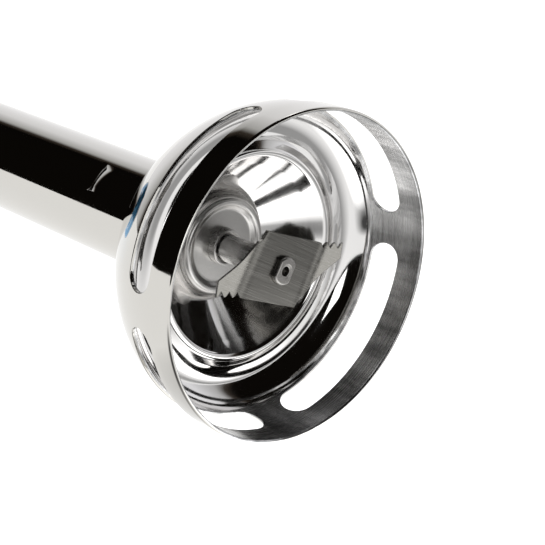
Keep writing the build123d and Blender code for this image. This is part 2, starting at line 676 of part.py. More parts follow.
# ---------------------------------------------------------------- handle: socket, end cap, dial
SOCKET_BACK_X = -30.0
socket_ring = turned(
    (HANDLE_FRONT_X + 2, SOCKET_R + 0.4), (HANDLE_FRONT_X + 2, 23.0), (HANDLE_FRONT_X, 23.0),
    (HANDLE_FRONT_X, 23.7), (-12.0, 23.6), (-12.0, 21.1), (SOCKET_BACK_X, 21.1), (SOCKET_BACK_X, SOCKET_R),
    (HANDLE_FRONT_X + 1.6, SOCKET_R))
keep(socket_ring, "socket_ring")

socket_trim = turned(
    (HANDLE_FRONT_X + 2, 23.0), (HANDLE_FRONT_X + 2, 25.9), (HANDLE_FRONT_X + 1.5, 26.25),
    (HANDLE_FRONT_X + 0.5, 26.25), (HANDLE_FRONT_X, 25.9), (HANDLE_FRONT_X, 23.0))
keep(socket_trim, "socket_trim")

cap_station = HANDLE_SECTIONS[-1]
CAP_INSET = 2.2
INLET_WALL = 1.6
with BuildPart() as end_cap:
    with BuildSketch(cross_plane(HANDLE_BACK_X, cap_station[3])):
        Ellipse(cap_station[1], cap_station[2])
    extrude(amount=CAP_X - HANDLE_BACK_X)
    fillet(end_cap.faces().sort_by(Axis.X)[0].edges(), radius=5.0)
    with BuildSketch(cross_plane(HANDLE_BACK_X, cap_station[3])):
        Ellipse(cap_station[1] - CAP_INSET - 2, cap_station[2] - CAP_INSET - 2)
    extrude(amount=CAP_X + CAP_INSET - HANDLE_BACK_X, mode=Mode.SUBTRACT)
    with BuildSketch(cross_plane(HANDLE_BACK_X, cap_station[3])):
        Ellipse(cap_station[1] - WALL - 0.1, cap_station[2] - WALL - 0.1)
        Ellipse(cap_station[1] - CAP_INSET - 2, cap_station[2] - CAP_INSET - 2, mode=Mode.SUBTRACT)
    extrude(amount=4)
    add(ring(HANDLE_BACK_X, -200, 0, 3.4, axis_z=DIAL_Z), mode=Mode.SUBTRACT)
    add(ring(CAP_X + 1.0, -200, 0, DIAL_R + 0.5, axis_z=DIAL_Z), mode=Mode.SUBTRACT)
    add(ring(HANDLE_BACK_X, -200, 0, INLET_R + INLET_WALL, axis_z=INLET_Z), mode=Mode.SUBTRACT)
keep(end_cap.part, "end_cap")

INLET_LENGTH = 9.0
gland_back_x = CAP_X - 1.5
gland_front_x = gland_back_x + INLET_LENGTH
gland_r = INLET_R + INLET_WALL
cord_gland = turned(
    (gland_front_x, INLET_R), (gland_front_x, gland_r), (CAP_X, gland_r), (CAP_X - 0.6, gland_r + 0.6),
    (gland_back_x, gland_r), (gland_back_x, INLET_R), axis_z=INLET_Z)
keep(cord_gland, "cord_gland")

DIAL_STEM_R, DIAL_STEM_X = 3.0, -179.0
DIAL_FACE_X = -LENGTH / 2
with BuildPart() as speed_dial:
    add(turned((DIAL_STEM_X, 0), (DIAL_STEM_X, DIAL_STEM_R), (CAP_X + 0.7, DIAL_STEM_R),
               (CAP_X + 0.7, DIAL_R), (DIAL_FACE_X + 0.8, DIAL_R), (DIAL_FACE_X, DIAL_R - 0.8),
               (DIAL_FACE_X, 0), axis_z=DIAL_Z))
    with BuildSketch(cross_plane(DIAL_FACE_X - 1, DIAL_Z)):
        with PolarLocations(DIAL_R + 0.45, 24):
            Circle(0.9)
    extrude(amount=3.2, mode=Mode.SUBTRACT)
    with BuildSketch(cross_plane(DIAL_FACE_X, DIAL_Z)):
        with Locations((0, 7.2)):
            SlotOverall(4.0, 1.2, rotation=90)
    extrude(amount=0.5, mode=Mode.SUBTRACT)
keep(speed_dial.part, "speed_dial")

with BuildPart() as speed_control:
    add(block(-182.0, -175.5, -8, 8, DIAL_Z - 8, DIAL_Z + 4.8))
    add(ring(-177.0, -190, 0, DIAL_STEM_R + RUN_FIT, axis_z=DIAL_Z), mode=Mode.SUBTRACT)
keep(speed_control.part, "speed_control")

# ---------------------------------------------------------------- motor, the fixed pieces
FRONT_BEARING = (-42.0, -48.0)
REAR_BEARING = (-112.0, -117.0)
FRONT_BEARING_R, REAR_BEARING_R = 9.5, 8.0
SHAFT_BORE = MOTOR_SHAFT_R + RUN_FIT
BOLT_R, BOLT_RING_R = 1.4, 18.9
BOLT_ANGLES = (90, 270)


def bolt_bars(x_front, x_back, radius):
    """Round bars at the motor's two through bolts."""
    with BuildPart() as bars:
        for angle in BOLT_ANGLES:
            height = AXIS_Z + BOLT_RING_R * sin(radians(angle))
            with BuildSketch(cross_plane(x_back, height)):
                Circle(radius)
            extrude(amount=x_front - x_back)
    return bars.part


with BuildPart() as motor_front_bracket:
    add(turned((-41.0, 10.6), (-41.0, FRONT_BEARING_R), (FRONT_BEARING[1], FRONT_BEARING_R),
               (FRONT_BEARING[1], 5.0), (-49.5, 5.0), (-49.5, 20.5), (-61.5, 20.5), (-61.5, MOTOR_R),
               (-47.2, MOTOR_R), (-47.2, 12.0)))
    with BuildSketch(cross_plane(-51)):
        with PolarLocations(15.5, 8, start_angle=22.5):
            Circle(2.0)
    extrude(amount=6, mode=Mode.SUBTRACT)
    add(bolt_bars(-40, -52, BOLT_R + 0.1), mode=Mode.SUBTRACT)
keep(motor_front_bracket.part, "motor_front_bracket")

with BuildPart() as motor_rear_bracket:
    add(turned((-95.5, 20.6), (-95.5, MOTOR_R), (-113.0, MOTOR_R), (-117.5, 9.6),
               (REAR_BEARING[1], REAR_BEARING_R), (-111.5, REAR_BEARING_R), (-111.5, 20.6)))
    add(block(-110.2, -99.8, -17.9, 17.9, AXIS_Z - 5.2, AXIS_Z + 5.2), mode=Mode.SUBTRACT)
    add(bolt_bars(-100, -120, BOLT_R + 0.1), mode=Mode.SUBTRACT)
keep(motor_rear_bracket.part, "motor_rear_bracket")


def bearing(stations, outer_r):
    """A ball bearing's rings and shields as one piece."""
    front, back = stations
    return turned((front, SHAFT_BORE), (front, 4.6), (front - 0.5, 5.0), (front - 0.5, outer_r - 1.9),
                  (front, outer_r - 1.5), (front, outer_r), (back, outer_r), (back, outer_r - 1.5),
                  (back + 0.5, outer_r - 1.9), (back + 0.5, 5.0), (back, 4.6), (back, SHAFT_BORE))


keep(bearing(FRONT_BEARING, FRONT_BEARING_R), "front_bearing")
keep(bearing(REAR_BEARING, REAR_BEARING_R), "rear_bearing")

STATOR_R = 21.8
POLE_HALF, POLE_ROOT = 50, 17.6
COIL_END = 2.3
with BuildPart() as stator_core:
    add(ring(CORE_FRONT_X, CORE_BACK_X, POLE_ROOT, STATOR_R))
    for start in (-POLE_HALF, 180 - POLE_HALF):
        add(sector(CORE_FRONT_X, CORE_BACK_X, STATOR_BORE, POLE_ROOT + 0.1, start, 2 * POLE_HALF))
    add(bolt_bars(CORE_FRONT_X + 1, CORE_BACK_X - 1, BOLT_R + 0.1), mode=Mode.SUBTRACT)
keep(stator_core.part, "stator_core")

with BuildPart() as field_coils:
    for start in (0, 180):
        add(sector(CORE_FRONT_X + COIL_END, CORE_BACK_X - COIL_END, STATOR_BORE + 0.4, POLE_ROOT - 0.1,
                   start - 62, 124))
        add(sector(CORE_FRONT_X + 0.2, CORE_BACK_X - 0.2, 10, 20, start - 52, 104), mode=Mode.SUBTRACT)
keep(field_coils.part, "field_coils")

with BuildPart() as motor_bolts:
    add(bolt_bars(-47.2, -115.0, BOLT_R))
    add(bolt_bars(-44.8, -47.2, 2.5))
keep(motor_bolts.part, "motor_bolts")

BRUSH_X, BRUSH_HALF = -105.0, 3.2
COMMUTATOR_R = 9.0
with BuildPart() as brush_holders:
    for side in (-1, 1):
        low, high = sorted((side * 10.2, side * 17.8))
        add(block(BRUSH_X - 5.1, BRUSH_X + 5.1, low, high, AXIS_Z - 5.1, AXIS_Z + 5.1))
        low, high = sorted((side * 9, side * 16.6))
        add(block(BRUSH_X - BRUSH_HALF, BRUSH_X + BRUSH_HALF, low, high,
                  AXIS_Z - BRUSH_HALF, AXIS_Z + BRUSH_HALF), mode=Mode.SUBTRACT)
keep(brush_holders.part, "brush_holders")

with BuildPart() as carbon_brushes:
    for side in (-1, 1):
        low, high = sorted((side * 8, side * 13.4))
        add(block(BRUSH_X - BRUSH_HALF + 0.1, BRUSH_X + BRUSH_HALF - 0.1, low, high,
                  AXIS_Z - BRUSH_HALF + 0.1, AXIS_Z + BRUSH_HALF - 0.1))
    add(ring(BRUSH_X + 6, BRUSH_X - 6, 0, COMMUTATOR_R + RUN_FIT), mode=Mode.SUBTRACT)
keep(carbon_brushes.part, "carbon_brushes")

with BuildPart() as brush_springs:
    for side in (-1, 1):
        with BuildLine():
            wire = Helix(pitch=0.8, height=2.4, radius=2.0, center=(BRUSH_X, side * 13.75, AXIS_Z),
                         direction=(0, side, 0))
        with BuildSketch(Plane(origin=wire @ 0, z_dir=wire % 0)):
            Circle(0.2)
        sweep(path=wire)
keep(brush_springs.part, "brush_springs")

# ---------------------------------------------------------------- motor, the turning pieces
motor_shaft = turned((-31.6, 0), (-31.6, MOTOR_SHAFT_R - 0.4), (-32.0, MOTOR_SHAFT_R),
                     (-119.0, MOTOR_SHAFT_R), (-119.4, MOTOR_SHAFT_R - 0.4), (-119.4, 0))
keep(motor_shaft, "motor_shaft")

ROTOR_SLOTS = 12
with BuildPart() as rotor_core:
    add(ring(CORE_FRONT_X, CORE_BACK_X, MOTOR_SHAFT_R, ROTOR_R))
    with BuildSketch(cross_plane(CORE_BACK_X - 1)):
        with PolarLocations(ROTOR_R - 1, ROTOR_SLOTS):
            Rectangle(4, 0.9)
        with PolarLocations(9.6, ROTOR_SLOTS):
            Circle(1.7)
    extrude(amount=CORE_FRONT_X - CORE_BACK_X + 2, mode=Mode.SUBTRACT)
keep(rotor_core.part, "rotor_core")

with BuildPart() as rotor_windings:
    with BuildSketch(cross_plane(CORE_BACK_X)):
        with PolarLocations(9.6, ROTOR_SLOTS):
            Circle(1.6)
    extrude(amount=CORE_FRONT_X - CORE_BACK_X)
    add(turned((CORE_FRONT_X, 4.5), (CORE_FRONT_X, 11.8), (CORE_FRONT_X + 2, 12.6), (CORE_FRONT_X + 4, 11.0),
               (CORE_FRONT_X + 4.6, 8.0), (CORE_FRONT_X + 3, 4.5)))
    add(turned((CORE_BACK_X, 4.5), (CORE_BACK_X, 11.8), (CORE_BACK_X - 2, 12.6), (CORE_BACK_X - 4, 11.0),
               (CORE_BACK_X - 4.6, 8.0), (CORE_BACK_X - 3, 4.5)))
keep(rotor_windings.part, "rotor_windings")

COMMUTATOR_BARS = 24
with BuildPart() as commutator:
    add(turned((-99.4, MOTOR_SHAFT_R), (-99.4, 9.9), (-100.6, 9.9), (-100.6, COMMUTATOR_R),
               (-110.0, COMMUTATOR_R), (-110.6, COMMUTATOR_R - 0.6), (-110.6, MOTOR_SHAFT_R)))
    with BuildSketch(cross_plane(-111)):
        with PolarLocations(COMMUTATOR_R, COMMUTATOR_BARS):
            Rectangle(1.2, 0.35)
    extrude(amount=10.2, mode=Mode.SUBTRACT)
keep(commutator.part, "commutator")

FAN_BLADES, FAN_R = 11, 17.0
with BuildPart() as cooling_fan:
    add(ring(-51.0, -58.6, MOTOR_SHAFT_R, 5.4))
    add(ring(-57.4, -58.6, 4, FAN_R))
    with BuildSketch(cross_plane(-57.6)):
        with PolarLocations(10.9, FAN_BLADES):
            Rectangle(12.6, 1.0, rotation=24)
    extrude(amount=5.4)
    add(ring(-51.5, -58.6, FAN_R, 25), mode=Mode.SUBTRACT)
keep(cooling_fan.part, "cooling_fan")

COUPLING_SOCKET = COUPLING_FLATS + 2 * JOINT_GAP
with BuildPart() as drive_coupling:
    add(ring(-18.5, -40.5, 0, 9.0))
    with BuildSketch(cross_plane(-31.4)):
        RegularPolygon(COUPLING_SOCKET / 2, 6, major_radius=False)
    extrude(amount=14, mode=Mode.SUBTRACT)
    add(ring(-31.6, -42, 0, MOTOR_SHAFT_R), mode=Mode.SUBTRACT)
    with BuildSketch(cross_plane(-32)):
        Circle(MOTOR_SHAFT_R)
    extrude(amount=0.5, mode=Mode.SUBTRACT)
keep(drive_coupling.part, "drive_coupling")

# ---------------------------------------------------------------- electronics
with BuildPart() as circuit_board:
    add(block(-174.0, -127.5, -17.5, 17.5, BOARD_Z, BOARD_Z + BOARD_THICK))
    with Locations((-168.0, 11.0, BOARD_Z + BOARD_THICK + 2.0)):
        Box(6.0, 6.0, 4.0)
    with Locations((-145.0, -12.0, BOARD_Z + BOARD_THICK + 1.5)):
        Box(9.0, 5.0, 3.0)
keep(circuit_board.part, "circuit_board")

with BuildPart() as micro_switches:
    for x in (SPEED_BUTTON_X, TURBO_BUTTON_X):
        add(block(x - 5, x + 5, -4, 4, BOARD_Z + BOARD_THICK, SWITCH_TOP_Z))
        with BuildSketch(Plane(origin=(x, 0, SWITCH_TOP_Z))):
            Circle(1.1)
        extrude(amount=PLUNGER_HEIGHT)
keep(micro_switches.part, "micro_switches")

with BuildPart() as mains_capacitor:
    add(block(-146.0, -128.0, -8.5, 8.5, BOARD_Z - 15, BOARD_Z))
    fillet(mains_capacitor.edges().filter_by(Axis.Z), radius=1.5)
keep(mains_capacitor.part, "mains_capacitor")

with BuildPart() as heat_sink:
    add(block(-166.0, -150.0, -10, 10, BOARD_Z - 4, BOARD_Z))
    with BuildSketch(Plane.XY.offset(BOARD_Z - 14)):
        with Locations((-158.0, 0)):
            with GridLocations(0, 4, 1, 5):
                Rectangle(16, 1.4)
    extrude(amount=11)
keep(heat_sink.part, "heat_sink")
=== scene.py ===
"""Immersion blender lying on its back: surfaces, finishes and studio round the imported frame."""

import json
import math

import bmesh
import bpy
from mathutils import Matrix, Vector
from mathutils.geometry import delaunay_2d_cdt

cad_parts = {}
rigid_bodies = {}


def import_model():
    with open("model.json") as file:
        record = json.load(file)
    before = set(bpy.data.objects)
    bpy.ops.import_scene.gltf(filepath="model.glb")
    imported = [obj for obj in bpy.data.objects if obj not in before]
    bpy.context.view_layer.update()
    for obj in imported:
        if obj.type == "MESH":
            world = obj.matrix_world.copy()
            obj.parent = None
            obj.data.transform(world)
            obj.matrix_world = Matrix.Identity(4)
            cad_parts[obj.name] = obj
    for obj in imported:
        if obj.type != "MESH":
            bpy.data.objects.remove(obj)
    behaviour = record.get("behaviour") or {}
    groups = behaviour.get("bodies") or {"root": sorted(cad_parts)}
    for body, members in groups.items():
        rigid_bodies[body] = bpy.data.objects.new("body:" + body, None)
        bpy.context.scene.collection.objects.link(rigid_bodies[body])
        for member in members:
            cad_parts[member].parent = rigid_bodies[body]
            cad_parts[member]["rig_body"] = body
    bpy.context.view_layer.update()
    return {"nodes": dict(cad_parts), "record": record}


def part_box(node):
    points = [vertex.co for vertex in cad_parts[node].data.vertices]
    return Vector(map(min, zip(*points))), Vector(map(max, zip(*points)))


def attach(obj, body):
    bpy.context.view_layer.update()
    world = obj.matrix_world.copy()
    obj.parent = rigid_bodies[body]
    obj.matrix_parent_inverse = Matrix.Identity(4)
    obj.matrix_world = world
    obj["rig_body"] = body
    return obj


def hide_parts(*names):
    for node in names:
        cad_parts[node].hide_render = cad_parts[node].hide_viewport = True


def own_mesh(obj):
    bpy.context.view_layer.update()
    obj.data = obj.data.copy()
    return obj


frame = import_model()
nodes = frame["nodes"]

# ------------------------------------------------------------------ sizes, read from the frame
MM = 0.001
bell_low, bell_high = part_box("bell_guard")
RIM_X = bell_high.x / MM
RIM_R = (bell_high.y - bell_low.y) / 2 / MM
AXIS_Z = (bell_high.z + bell_low.z) / 2 / MM
TUBE_R = (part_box("shaft_tube")[1].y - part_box("shaft_tube")[0].y) / 2 / MM
SHAFT_R = (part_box("drive_shaft")[1].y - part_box("drive_shaft")[0].y) / 2 / MM

SHEET = 0.9                 # bell guard
SKIRT = 4.5                 # straight part of the bell behind its rim
SLOT_FRONT, SLOT_BACK = 6.2, 13.35
SLOT_SPAN = 77.5
TURN_STEPS = 240            # facets round the bell


def depth(distance):
    """Station x, in mm, at a distance behind the bell's rim."""
    return RIM_X - distance


def at(x, r, angle):
    """Point in metres at station x, radius r and an angle from +Y towards +Z."""
    return Vector((x, r * math.cos(angle), AXIS_Z + r * math.sin(angle))) * MM


# ------------------------------------------------------------------ mesh helpers
MERGE = 2e-6                # corners nearer than this, in metres, are one


def finish_mesh(name, bm, normals):
    """Merge the seams of a built mesh, shade it with its stored normals, and link it."""
    bmesh.ops.remove_doubles(bm, verts=bm.verts, dist=MERGE)
    bmesh.ops.dissolve_degenerate(bm, edges=bm.edges, dist=1e-7)
    mesh = bpy.data.meshes.new(name)
    vectors = [vert[normals].normalized() for vert in bm.verts]
    for face in bm.faces:
        face.smooth = True
    bm.normal_update()
    bm.to_mesh(mesh)
    bm.free()
    mesh.normals_split_custom_set_from_vertices(vectors)
    piece = bpy.data.objects.new(name, mesh)
    bpy.context.scene.collection.objects.link(piece)
    return piece


def skin(bm, rows):
    """Faces between rows of corners, each row closed on itself."""
    for first, second in zip(rows, rows[1:]):
        for index in range(len(first)):
            onward = (index + 1) % len(first)
            bm.faces.new((first[index], first[onward], second[onward], second[index]))


def rounded(corners, steps):
    """Corners (x, r, round) as a closed list of (point, outward normal), with each corner eased."""
    points = [Vector(corner[:2]) for corner in corners]
    count = len(points)
    area = sum(points[i].cross(points[(i + 1) % count]) for i in range(count))
    side = 1 if area > 0 else -1

    def outward(direction):
        return Vector((direction.y, -direction.x)).normalized() * side

    out = []
    for index, corner in enumerate(corners):
        here = points[index]
        before = (here - points[index - 1]).normalized()
        after = (points[(index + 1) % count] - here).normalized()
        ease = corner[2]
        if ease == 0:                      # a point on a smooth curve
            out.append((here, outward(before + after)))
            continue
        reach = min(ease, (here - points[index - 1]).length * 0.45,
                    (points[(index + 1) % count] - here).length * 0.45)
        start, end = here - before * reach, here + after * reach
        for step in range(steps + 1):
            t = step / steps
            point = start * (1 - t) ** 2 + here * 2 * t * (1 - t) + end * t ** 2
            out.append((point, outward(before * (1 - t) + after * t)))
    return out


def lathe(name, corners, segments=TURN_STEPS, steps=5):
    """Solid of revolution about the tool axis, from (x, r, round) corners."""
    bm = bmesh.new()
    normals = bm.verts.layers.float_vector.new("outward")
    rings = []
    outline = rounded(corners, steps)
    for index in range(segments):
        angle = 2 * math.pi * index / segments
        cosine, sine = math.cos(angle), math.sin(angle)
        ring = []
        for point, normal in outline:
            vert = bm.verts.new(at(point.x, max(point.y, 0.0), angle))
            vert[normals] = Vector((normal.x, normal.y * cosine, normal.y * sine))
            ring.append(vert)
        rings.append(ring)
    skin(bm, rings + rings[:1])
    bmesh.ops.remove_doubles(bm, verts=bm.verts, dist=1e-7)
    bmesh.ops.recalc_face_normals(bm, faces=bm.faces)
    return finish_mesh(name, bm, normals)


def inside(point, loop):
    """Whether a flat point lies within a closed loop of flat points."""
    hit = False
    x, y = point
    for index, (x1, y1) in enumerate(loop):
        x2, y2 = loop[index - 1]
        if (y1 > y) != (y2 > y) and x < (x2 - x1) * (y - y1) / (y2 - y1) + x1:
            hit = not hit
    return hit


def away(point, loop):
    """Distance from a flat point to the nearest corner of a loop."""
    return min(math.hypot(point[0] - x, point[1] - y) for x, y in loop)


def set_in(loop, amount, hole):
    """A loop moved into the material by amount: inwards on an outline, outwards round a hole."""
    area = sum(loop[i - 1][0] * loop[i][1] - loop[i][0] * loop[i - 1][1] for i in range(len(loop)))
    side = (1 if area > 0 else -1) * (-1 if hole else 1)
    moved = []
    for index, here in enumerate(loop):
        before = Vector(here) - Vector(loop[index - 1])
        after = Vector(loop[(index + 1) % len(loop)]) - Vector(here)
        first = Vector((-before.y, before.x)).normalized()
        second = Vector((-after.y, after.x)).normalized()
        middle = (first + second).normalized()
        reach = amount / max(middle.dot(first), 0.5)
        moved.append(tuple(Vector(here) + middle * reach * side))
    return moved


def triangles(loops, holes, fill):
    """Triangulate the flat region within loops and outside holes, with fill points in it."""
    coords, edges = [], []
    for loop in loops + holes:
        first = len(coords)
        coords += [Vector(point) for point in loop]
        edges += [(first + i, first + (i + 1) % len(loop)) for i in range(len(loop))]
    coords += [Vector(point) for point in fill]
    verts, _, faces, *_ = delaunay_2d_cdt(coords, edges, [], 0, 1e-5)
    kept = []
    for face in faces:
        centre = sum((verts[i] for i in face), Vector((0, 0))) / len(face)
        if any(inside(centre, loop) for loop in loops) and not any(inside(centre, hole) for hole in holes):
            kept.append(face)
    return verts, kept


def sheet_metal(name, loops, holes, fill, place, thick, edge, copies=1, close_border=None):
    """A sheet of even thickness with eased edges.

    place(u, v, height, copy) gives a point in metres at a height above the sheet's middle.
    close_border adds the faces that join the two sides of a sheet whose outline is no cut edge.
    """
    bm = bmesh.new()
    normals = bm.verts.layers.float_vector.new("outward")
    half = thick / 2
    tiny = 0.01

    def surface_normal(u, v, copy):
        origin = place(u, v, 0, copy)
        along = place(u + tiny, v, 0, copy) - origin
        across = place(u, v + tiny, 0, copy) - origin
        normal = along.cross(across).normalized()
        up = place(u, v, half, copy) - origin
        return normal if normal.dot(up) > 0 else -normal

    inner_loops = [set_in(loop, edge, False) for loop in loops]
    inner_holes = [set_in(hole, edge, True) for hole in holes]
    verts, faces = triangles(loops if close_border else inner_loops, inner_holes, fill)
    for copy in range(copies):
        for sign in (1, -1):
            made = []
            for point in verts:
                vert = bm.verts.new(place(point.x, point.y, half * sign, copy))
                vert[normals] = surface_normal(point.x, point.y, copy) * sign
                made.append(vert)
            for face in faces:
                corners = [made[i] for i in face]
                bm.faces.new(corners if sign > 0 else corners[::-1])
        edged = list(zip(holes, inner_holes)) + ([] if close_border else list(zip(loops, inner_loops)))
        for outline, inset in edged:
            edge_strip(bm, normals, outline, inset, place, surface_normal, half, edge, copy)
    if close_border:
        close_border(bm, normals)
    bmesh.ops.remove_doubles(bm, verts=bm.verts, dist=MERGE)
    bmesh.ops.recalc_face_normals(bm, faces=bm.faces)
    return finish_mesh(name, bm, normals)


def edge_strip(bm, normals, outline, inset, place, surface_normal, half, edge, copy, steps=4):
    """The eased cut edge of a sheet, from its upper face round to its lower face."""
    rows = []
    for step in range(steps + 1):
        bend = math.pi / 2 * step / steps
        rows.append((1 - math.sin(bend), half - edge + edge * math.cos(bend), bend))
    rows += [(share, -height, math.pi - bend) for share, height, bend in rows[::-1]]
    edge_rows = []
    for share, height, bend in rows:
        row = []
        for (u, v), (u_in, v_in) in zip(outline, inset):
            point = (u + (u_in - u) * share, v + (v_in - v) * share)
            vert = bm.verts.new(place(point[0], point[1], height, copy))
            outwards = (place(u, v, 0, copy) - place(u_in, v_in, 0, copy)).normalized()
            vert[normals] = (surface_normal(point[0], point[1], copy) * math.cos(bend)
                             + outwards * math.sin(bend))
            row.append(vert)
        edge_rows.append(row)
    skin(bm, edge_rows)


def smooth_copy(node, ease, angle=math.radians(32)):
    """A merged copy of a CAD node's mesh, with edges sharper than an angle eased."""
    mesh = nodes[node].data.copy()
    bm = bmesh.new()
    bm.from_mesh(mesh)
    bmesh.ops.remove_doubles(bm, verts=bm.verts, dist=1e-6)
    bmesh.ops.dissolve_limit(bm, angle_limit=math.radians(0.5), verts=bm.verts, edges=bm.edges)
    for face in bm.faces:
        face.smooth = True
    for line in bm.edges:
        line.smooth = line.is_manifold and line.calc_face_angle(0) < angle
    bm.to_mesh(mesh)
    bm.free()
    piece = bpy.data.objects.new(node + "_piece", mesh)
    bpy.context.scene.collection.objects.link(piece)
    bevel = piece.modifiers.new("eased_edges", "BEVEL")
    bevel.width = ease * MM
    bevel.segments = 2
    bevel.limit_method = "ANGLE"
    bevel.angle_limit = angle
    bevel.harden_normals = True
    bevel.miter_outer = "MITER_ARC"
    return piece


# ------------------------------------------------------------------ materials
def material(name, color, metallic=0.0, roughness=0.4, **sockets):
    """A principled material; sockets are set on the shader itself."""
    mat = bpy.data.materials.new(name)
    mat.use_nodes = True
    shader = mat.node_tree.nodes["Principled BSDF"]
    shader.inputs["Base Color"].default_value = (*color, 1)
    shader.inputs["Metallic"].default_value = metallic
    shader.inputs["Roughness"].default_value = roughness
    for socket, value in sockets.items():
        shader.inputs[socket].default_value = value
    return mat


def add_node(mat, kind, **values):
    """A node in a material's tree, with inputs set by name or properties set by attribute."""
    node = mat.node_tree.nodes.new(kind)
    for key, value in values.items():
        if key in node.inputs:
            node.inputs[key].default_value = value
        else:
            setattr(node, key, value)
    return node


def wire(mat, source, output, target, socket):
    mat.node_tree.links.new(source.outputs[output], target.inputs[socket])


def to_shader(mat, source, output, socket):
    wire(mat, source, output, mat.node_tree.nodes["Principled BSDF"], socket)


def texture(mat, scale=(1, 1, 1), kind="ShaderNodeTexNoise", **values):
    """A texture on the piece's own coordinates, scaled along each axis."""
    coord = add_node(mat, "ShaderNodeTexCoord")
    mapping = add_node(mat, "ShaderNodeMapping", Scale=scale)
    noise = add_node(mat, kind, **values)
    wire(mat, coord, "Object", mapping, "Vector")
    wire(mat, mapping, "Vector", noise, "Vector")
    return noise


def spread(mat, source, low, high, output="Fac", start=0.3, end=0.7):
    """Map a texture's middle range onto low..high."""
    ramp = add_node(mat, "ShaderNodeMapRange", **{"From Min": start, "From Max": end, "To Min": low,
                                                  "To Max": high})
    wire(mat, source, output, ramp, "Value")
    return ramp


def tint(mat, source, first, second, start=0.3, end=0.7):
    """Colour that runs from first to second with a texture."""
    ramp = add_node(mat, "ShaderNodeValToRGB")
    for element, position, color in zip(ramp.color_ramp.elements, (start, end), (first, second)):
        element.position = position
        element.color = (*color, 1)
    wire(mat, source, "Fac", ramp, "Fac")
    to_shader(mat, ramp, "Color", "Base Color")


def roughen(mat, source, low, high, output="Fac", start=0.3, end=0.7):
    ramp = spread(mat, source, low, high, output, start, end)
    to_shader(mat, ramp, "Result", "Roughness")


def emboss(mat, source, height, strength, output="Fac"):
    """Surface relief of a height in metres from a texture."""
    bump = add_node(mat, "ShaderNodeBump", Strength=strength, Distance=height)
    wire(mat, source, output, bump, "Height")
    to_shader(mat, bump, "Normal", "Normal")


def rings_round(mat):
    """Fine marks that run round the tool axis, as buffing or turning leaves them."""
    return texture(mat, scale=(5200, 22, 22), Scale=1.0, Detail=4.0, Roughness=0.7)


def inner_side(mat):
    """1 on the bell guard's inner face and 0 on its outer one, from the distance to its middle."""
    coord = add_node(mat, "ShaderNodeTexCoord")
    centred = add_node(mat, "ShaderNodeMapping", Location=(-depth(SKIRT) * MM, 0, -AXIS_Z * MM))
    split = add_node(mat, "ShaderNodeSeparateXYZ")
    forward = add_node(mat, "ShaderNodeMath", operation="MINIMUM")
    forward.inputs[1].default_value = 0
    joined = add_node(mat, "ShaderNodeCombineXYZ")
    far = add_node(mat, "ShaderNodeVectorMath", operation="LENGTH")
    within = add_node(mat, "ShaderNodeMath", operation="LESS_THAN")
    within.inputs[1].default_value = (RIM_R - SHEET * 0.55) * MM
    wire(mat, coord, "Object", centred, "Vector")
    wire(mat, centred, "Vector", split, "Vector")
    wire(mat, split, "X", forward, 0)
    wire(mat, forward, "Value", joined, "X")
    wire(mat, split, "Y", joined, "Y")
    wire(mat, split, "Z", joined, "Z")
    wire(mat, joined, "Vector", far, "Vector")
    wire(mat, far, "Value", within, 0)
    return within


def polished_steel():
    """Mirror-polished sheet with faint buffing haze; the guard's inner face is brushed round the axis."""
    outer_color = (0.64, 0.625, 0.59)
    mat = material("polished_steel", outer_color, metallic=1.0, roughness=0.05)
    haze = texture(mat, scale=(60, 60, 60), Scale=1.0, Detail=4.0, Roughness=0.6)
    marks = rings_round(mat)
    brushed = inner_side(mat)
    outside = spread(mat, haze, 0.03, 0.075)
    inwards = spread(mat, marks, 0.16, 0.34)
    either = add_node(mat, "ShaderNodeMix")
    wire(mat, brushed, "Value", either, "Factor")
    wire(mat, outside, "Result", either, "A")
    wire(mat, inwards, "Result", either, "B")
    to_shader(mat, either, "Result", "Roughness")
    streaks = texture(mat, scale=(25, 150, 150), Scale=1.0, Detail=4.0, Roughness=0.65)
    shade = spread(mat, streaks, 0.30, 0.82, start=0.38, end=0.62)
    color = add_node(mat, "ShaderNodeMix", data_type="RGBA")
    color.inputs[6].default_value = (*outer_color, 1)
    wire(mat, brushed, "Value", color, 0)
    wire(mat, shade, "Result", color, 7)
    to_shader(mat, color, 2, "Base Color")
    relief = add_node(mat, "ShaderNodeMath", operation="MULTIPLY")
    wire(mat, marks, "Fac", relief, 0)
    wire(mat, brushed, "Value", relief, 1)
    emboss(mat, relief, 0.000006, strength=0.8, output="Value")
    return mat


def spun_steel():
    """Polished inside of the bell: buffed round the axis, with worn specks."""
    mat = material("spun_steel", (0.74, 0.73, 0.72), metallic=1.0, roughness=0.08)
    haze = texture(mat, scale=(110, 110, 110), Scale=1.0, Detail=6.0, Roughness=0.7)
    roughen(mat, haze, 0.03, 0.12)
    emboss(mat, rings_round(mat), 0.000003, strength=0.6)
    return mat


def turned_steel(name, roughness, color=(0.50, 0.49, 0.475)):
    """Fine lathe marks round the axis."""
    mat = material(name, color, metallic=1.0, roughness=0.22)
    coord = add_node(mat, "ShaderNodeTexCoord")
    centred = add_node(mat, "ShaderNodeMapping", Location=(0, 0, -AXIS_Z * MM))
    marks = add_node(mat, "ShaderNodeTexWave", wave_type="RINGS", rings_direction="X", Scale=2300.0,
                     Distortion=1.5, Detail=2.0)
    wire(mat, coord, "Object", centred, "Vector")
    wire(mat, centred, "Vector", marks, "Vector")
    roughen(mat, marks, *roughness, start=0.0, end=1.0)
    emboss(mat, marks, 0.0000008, strength=0.6)
    return mat


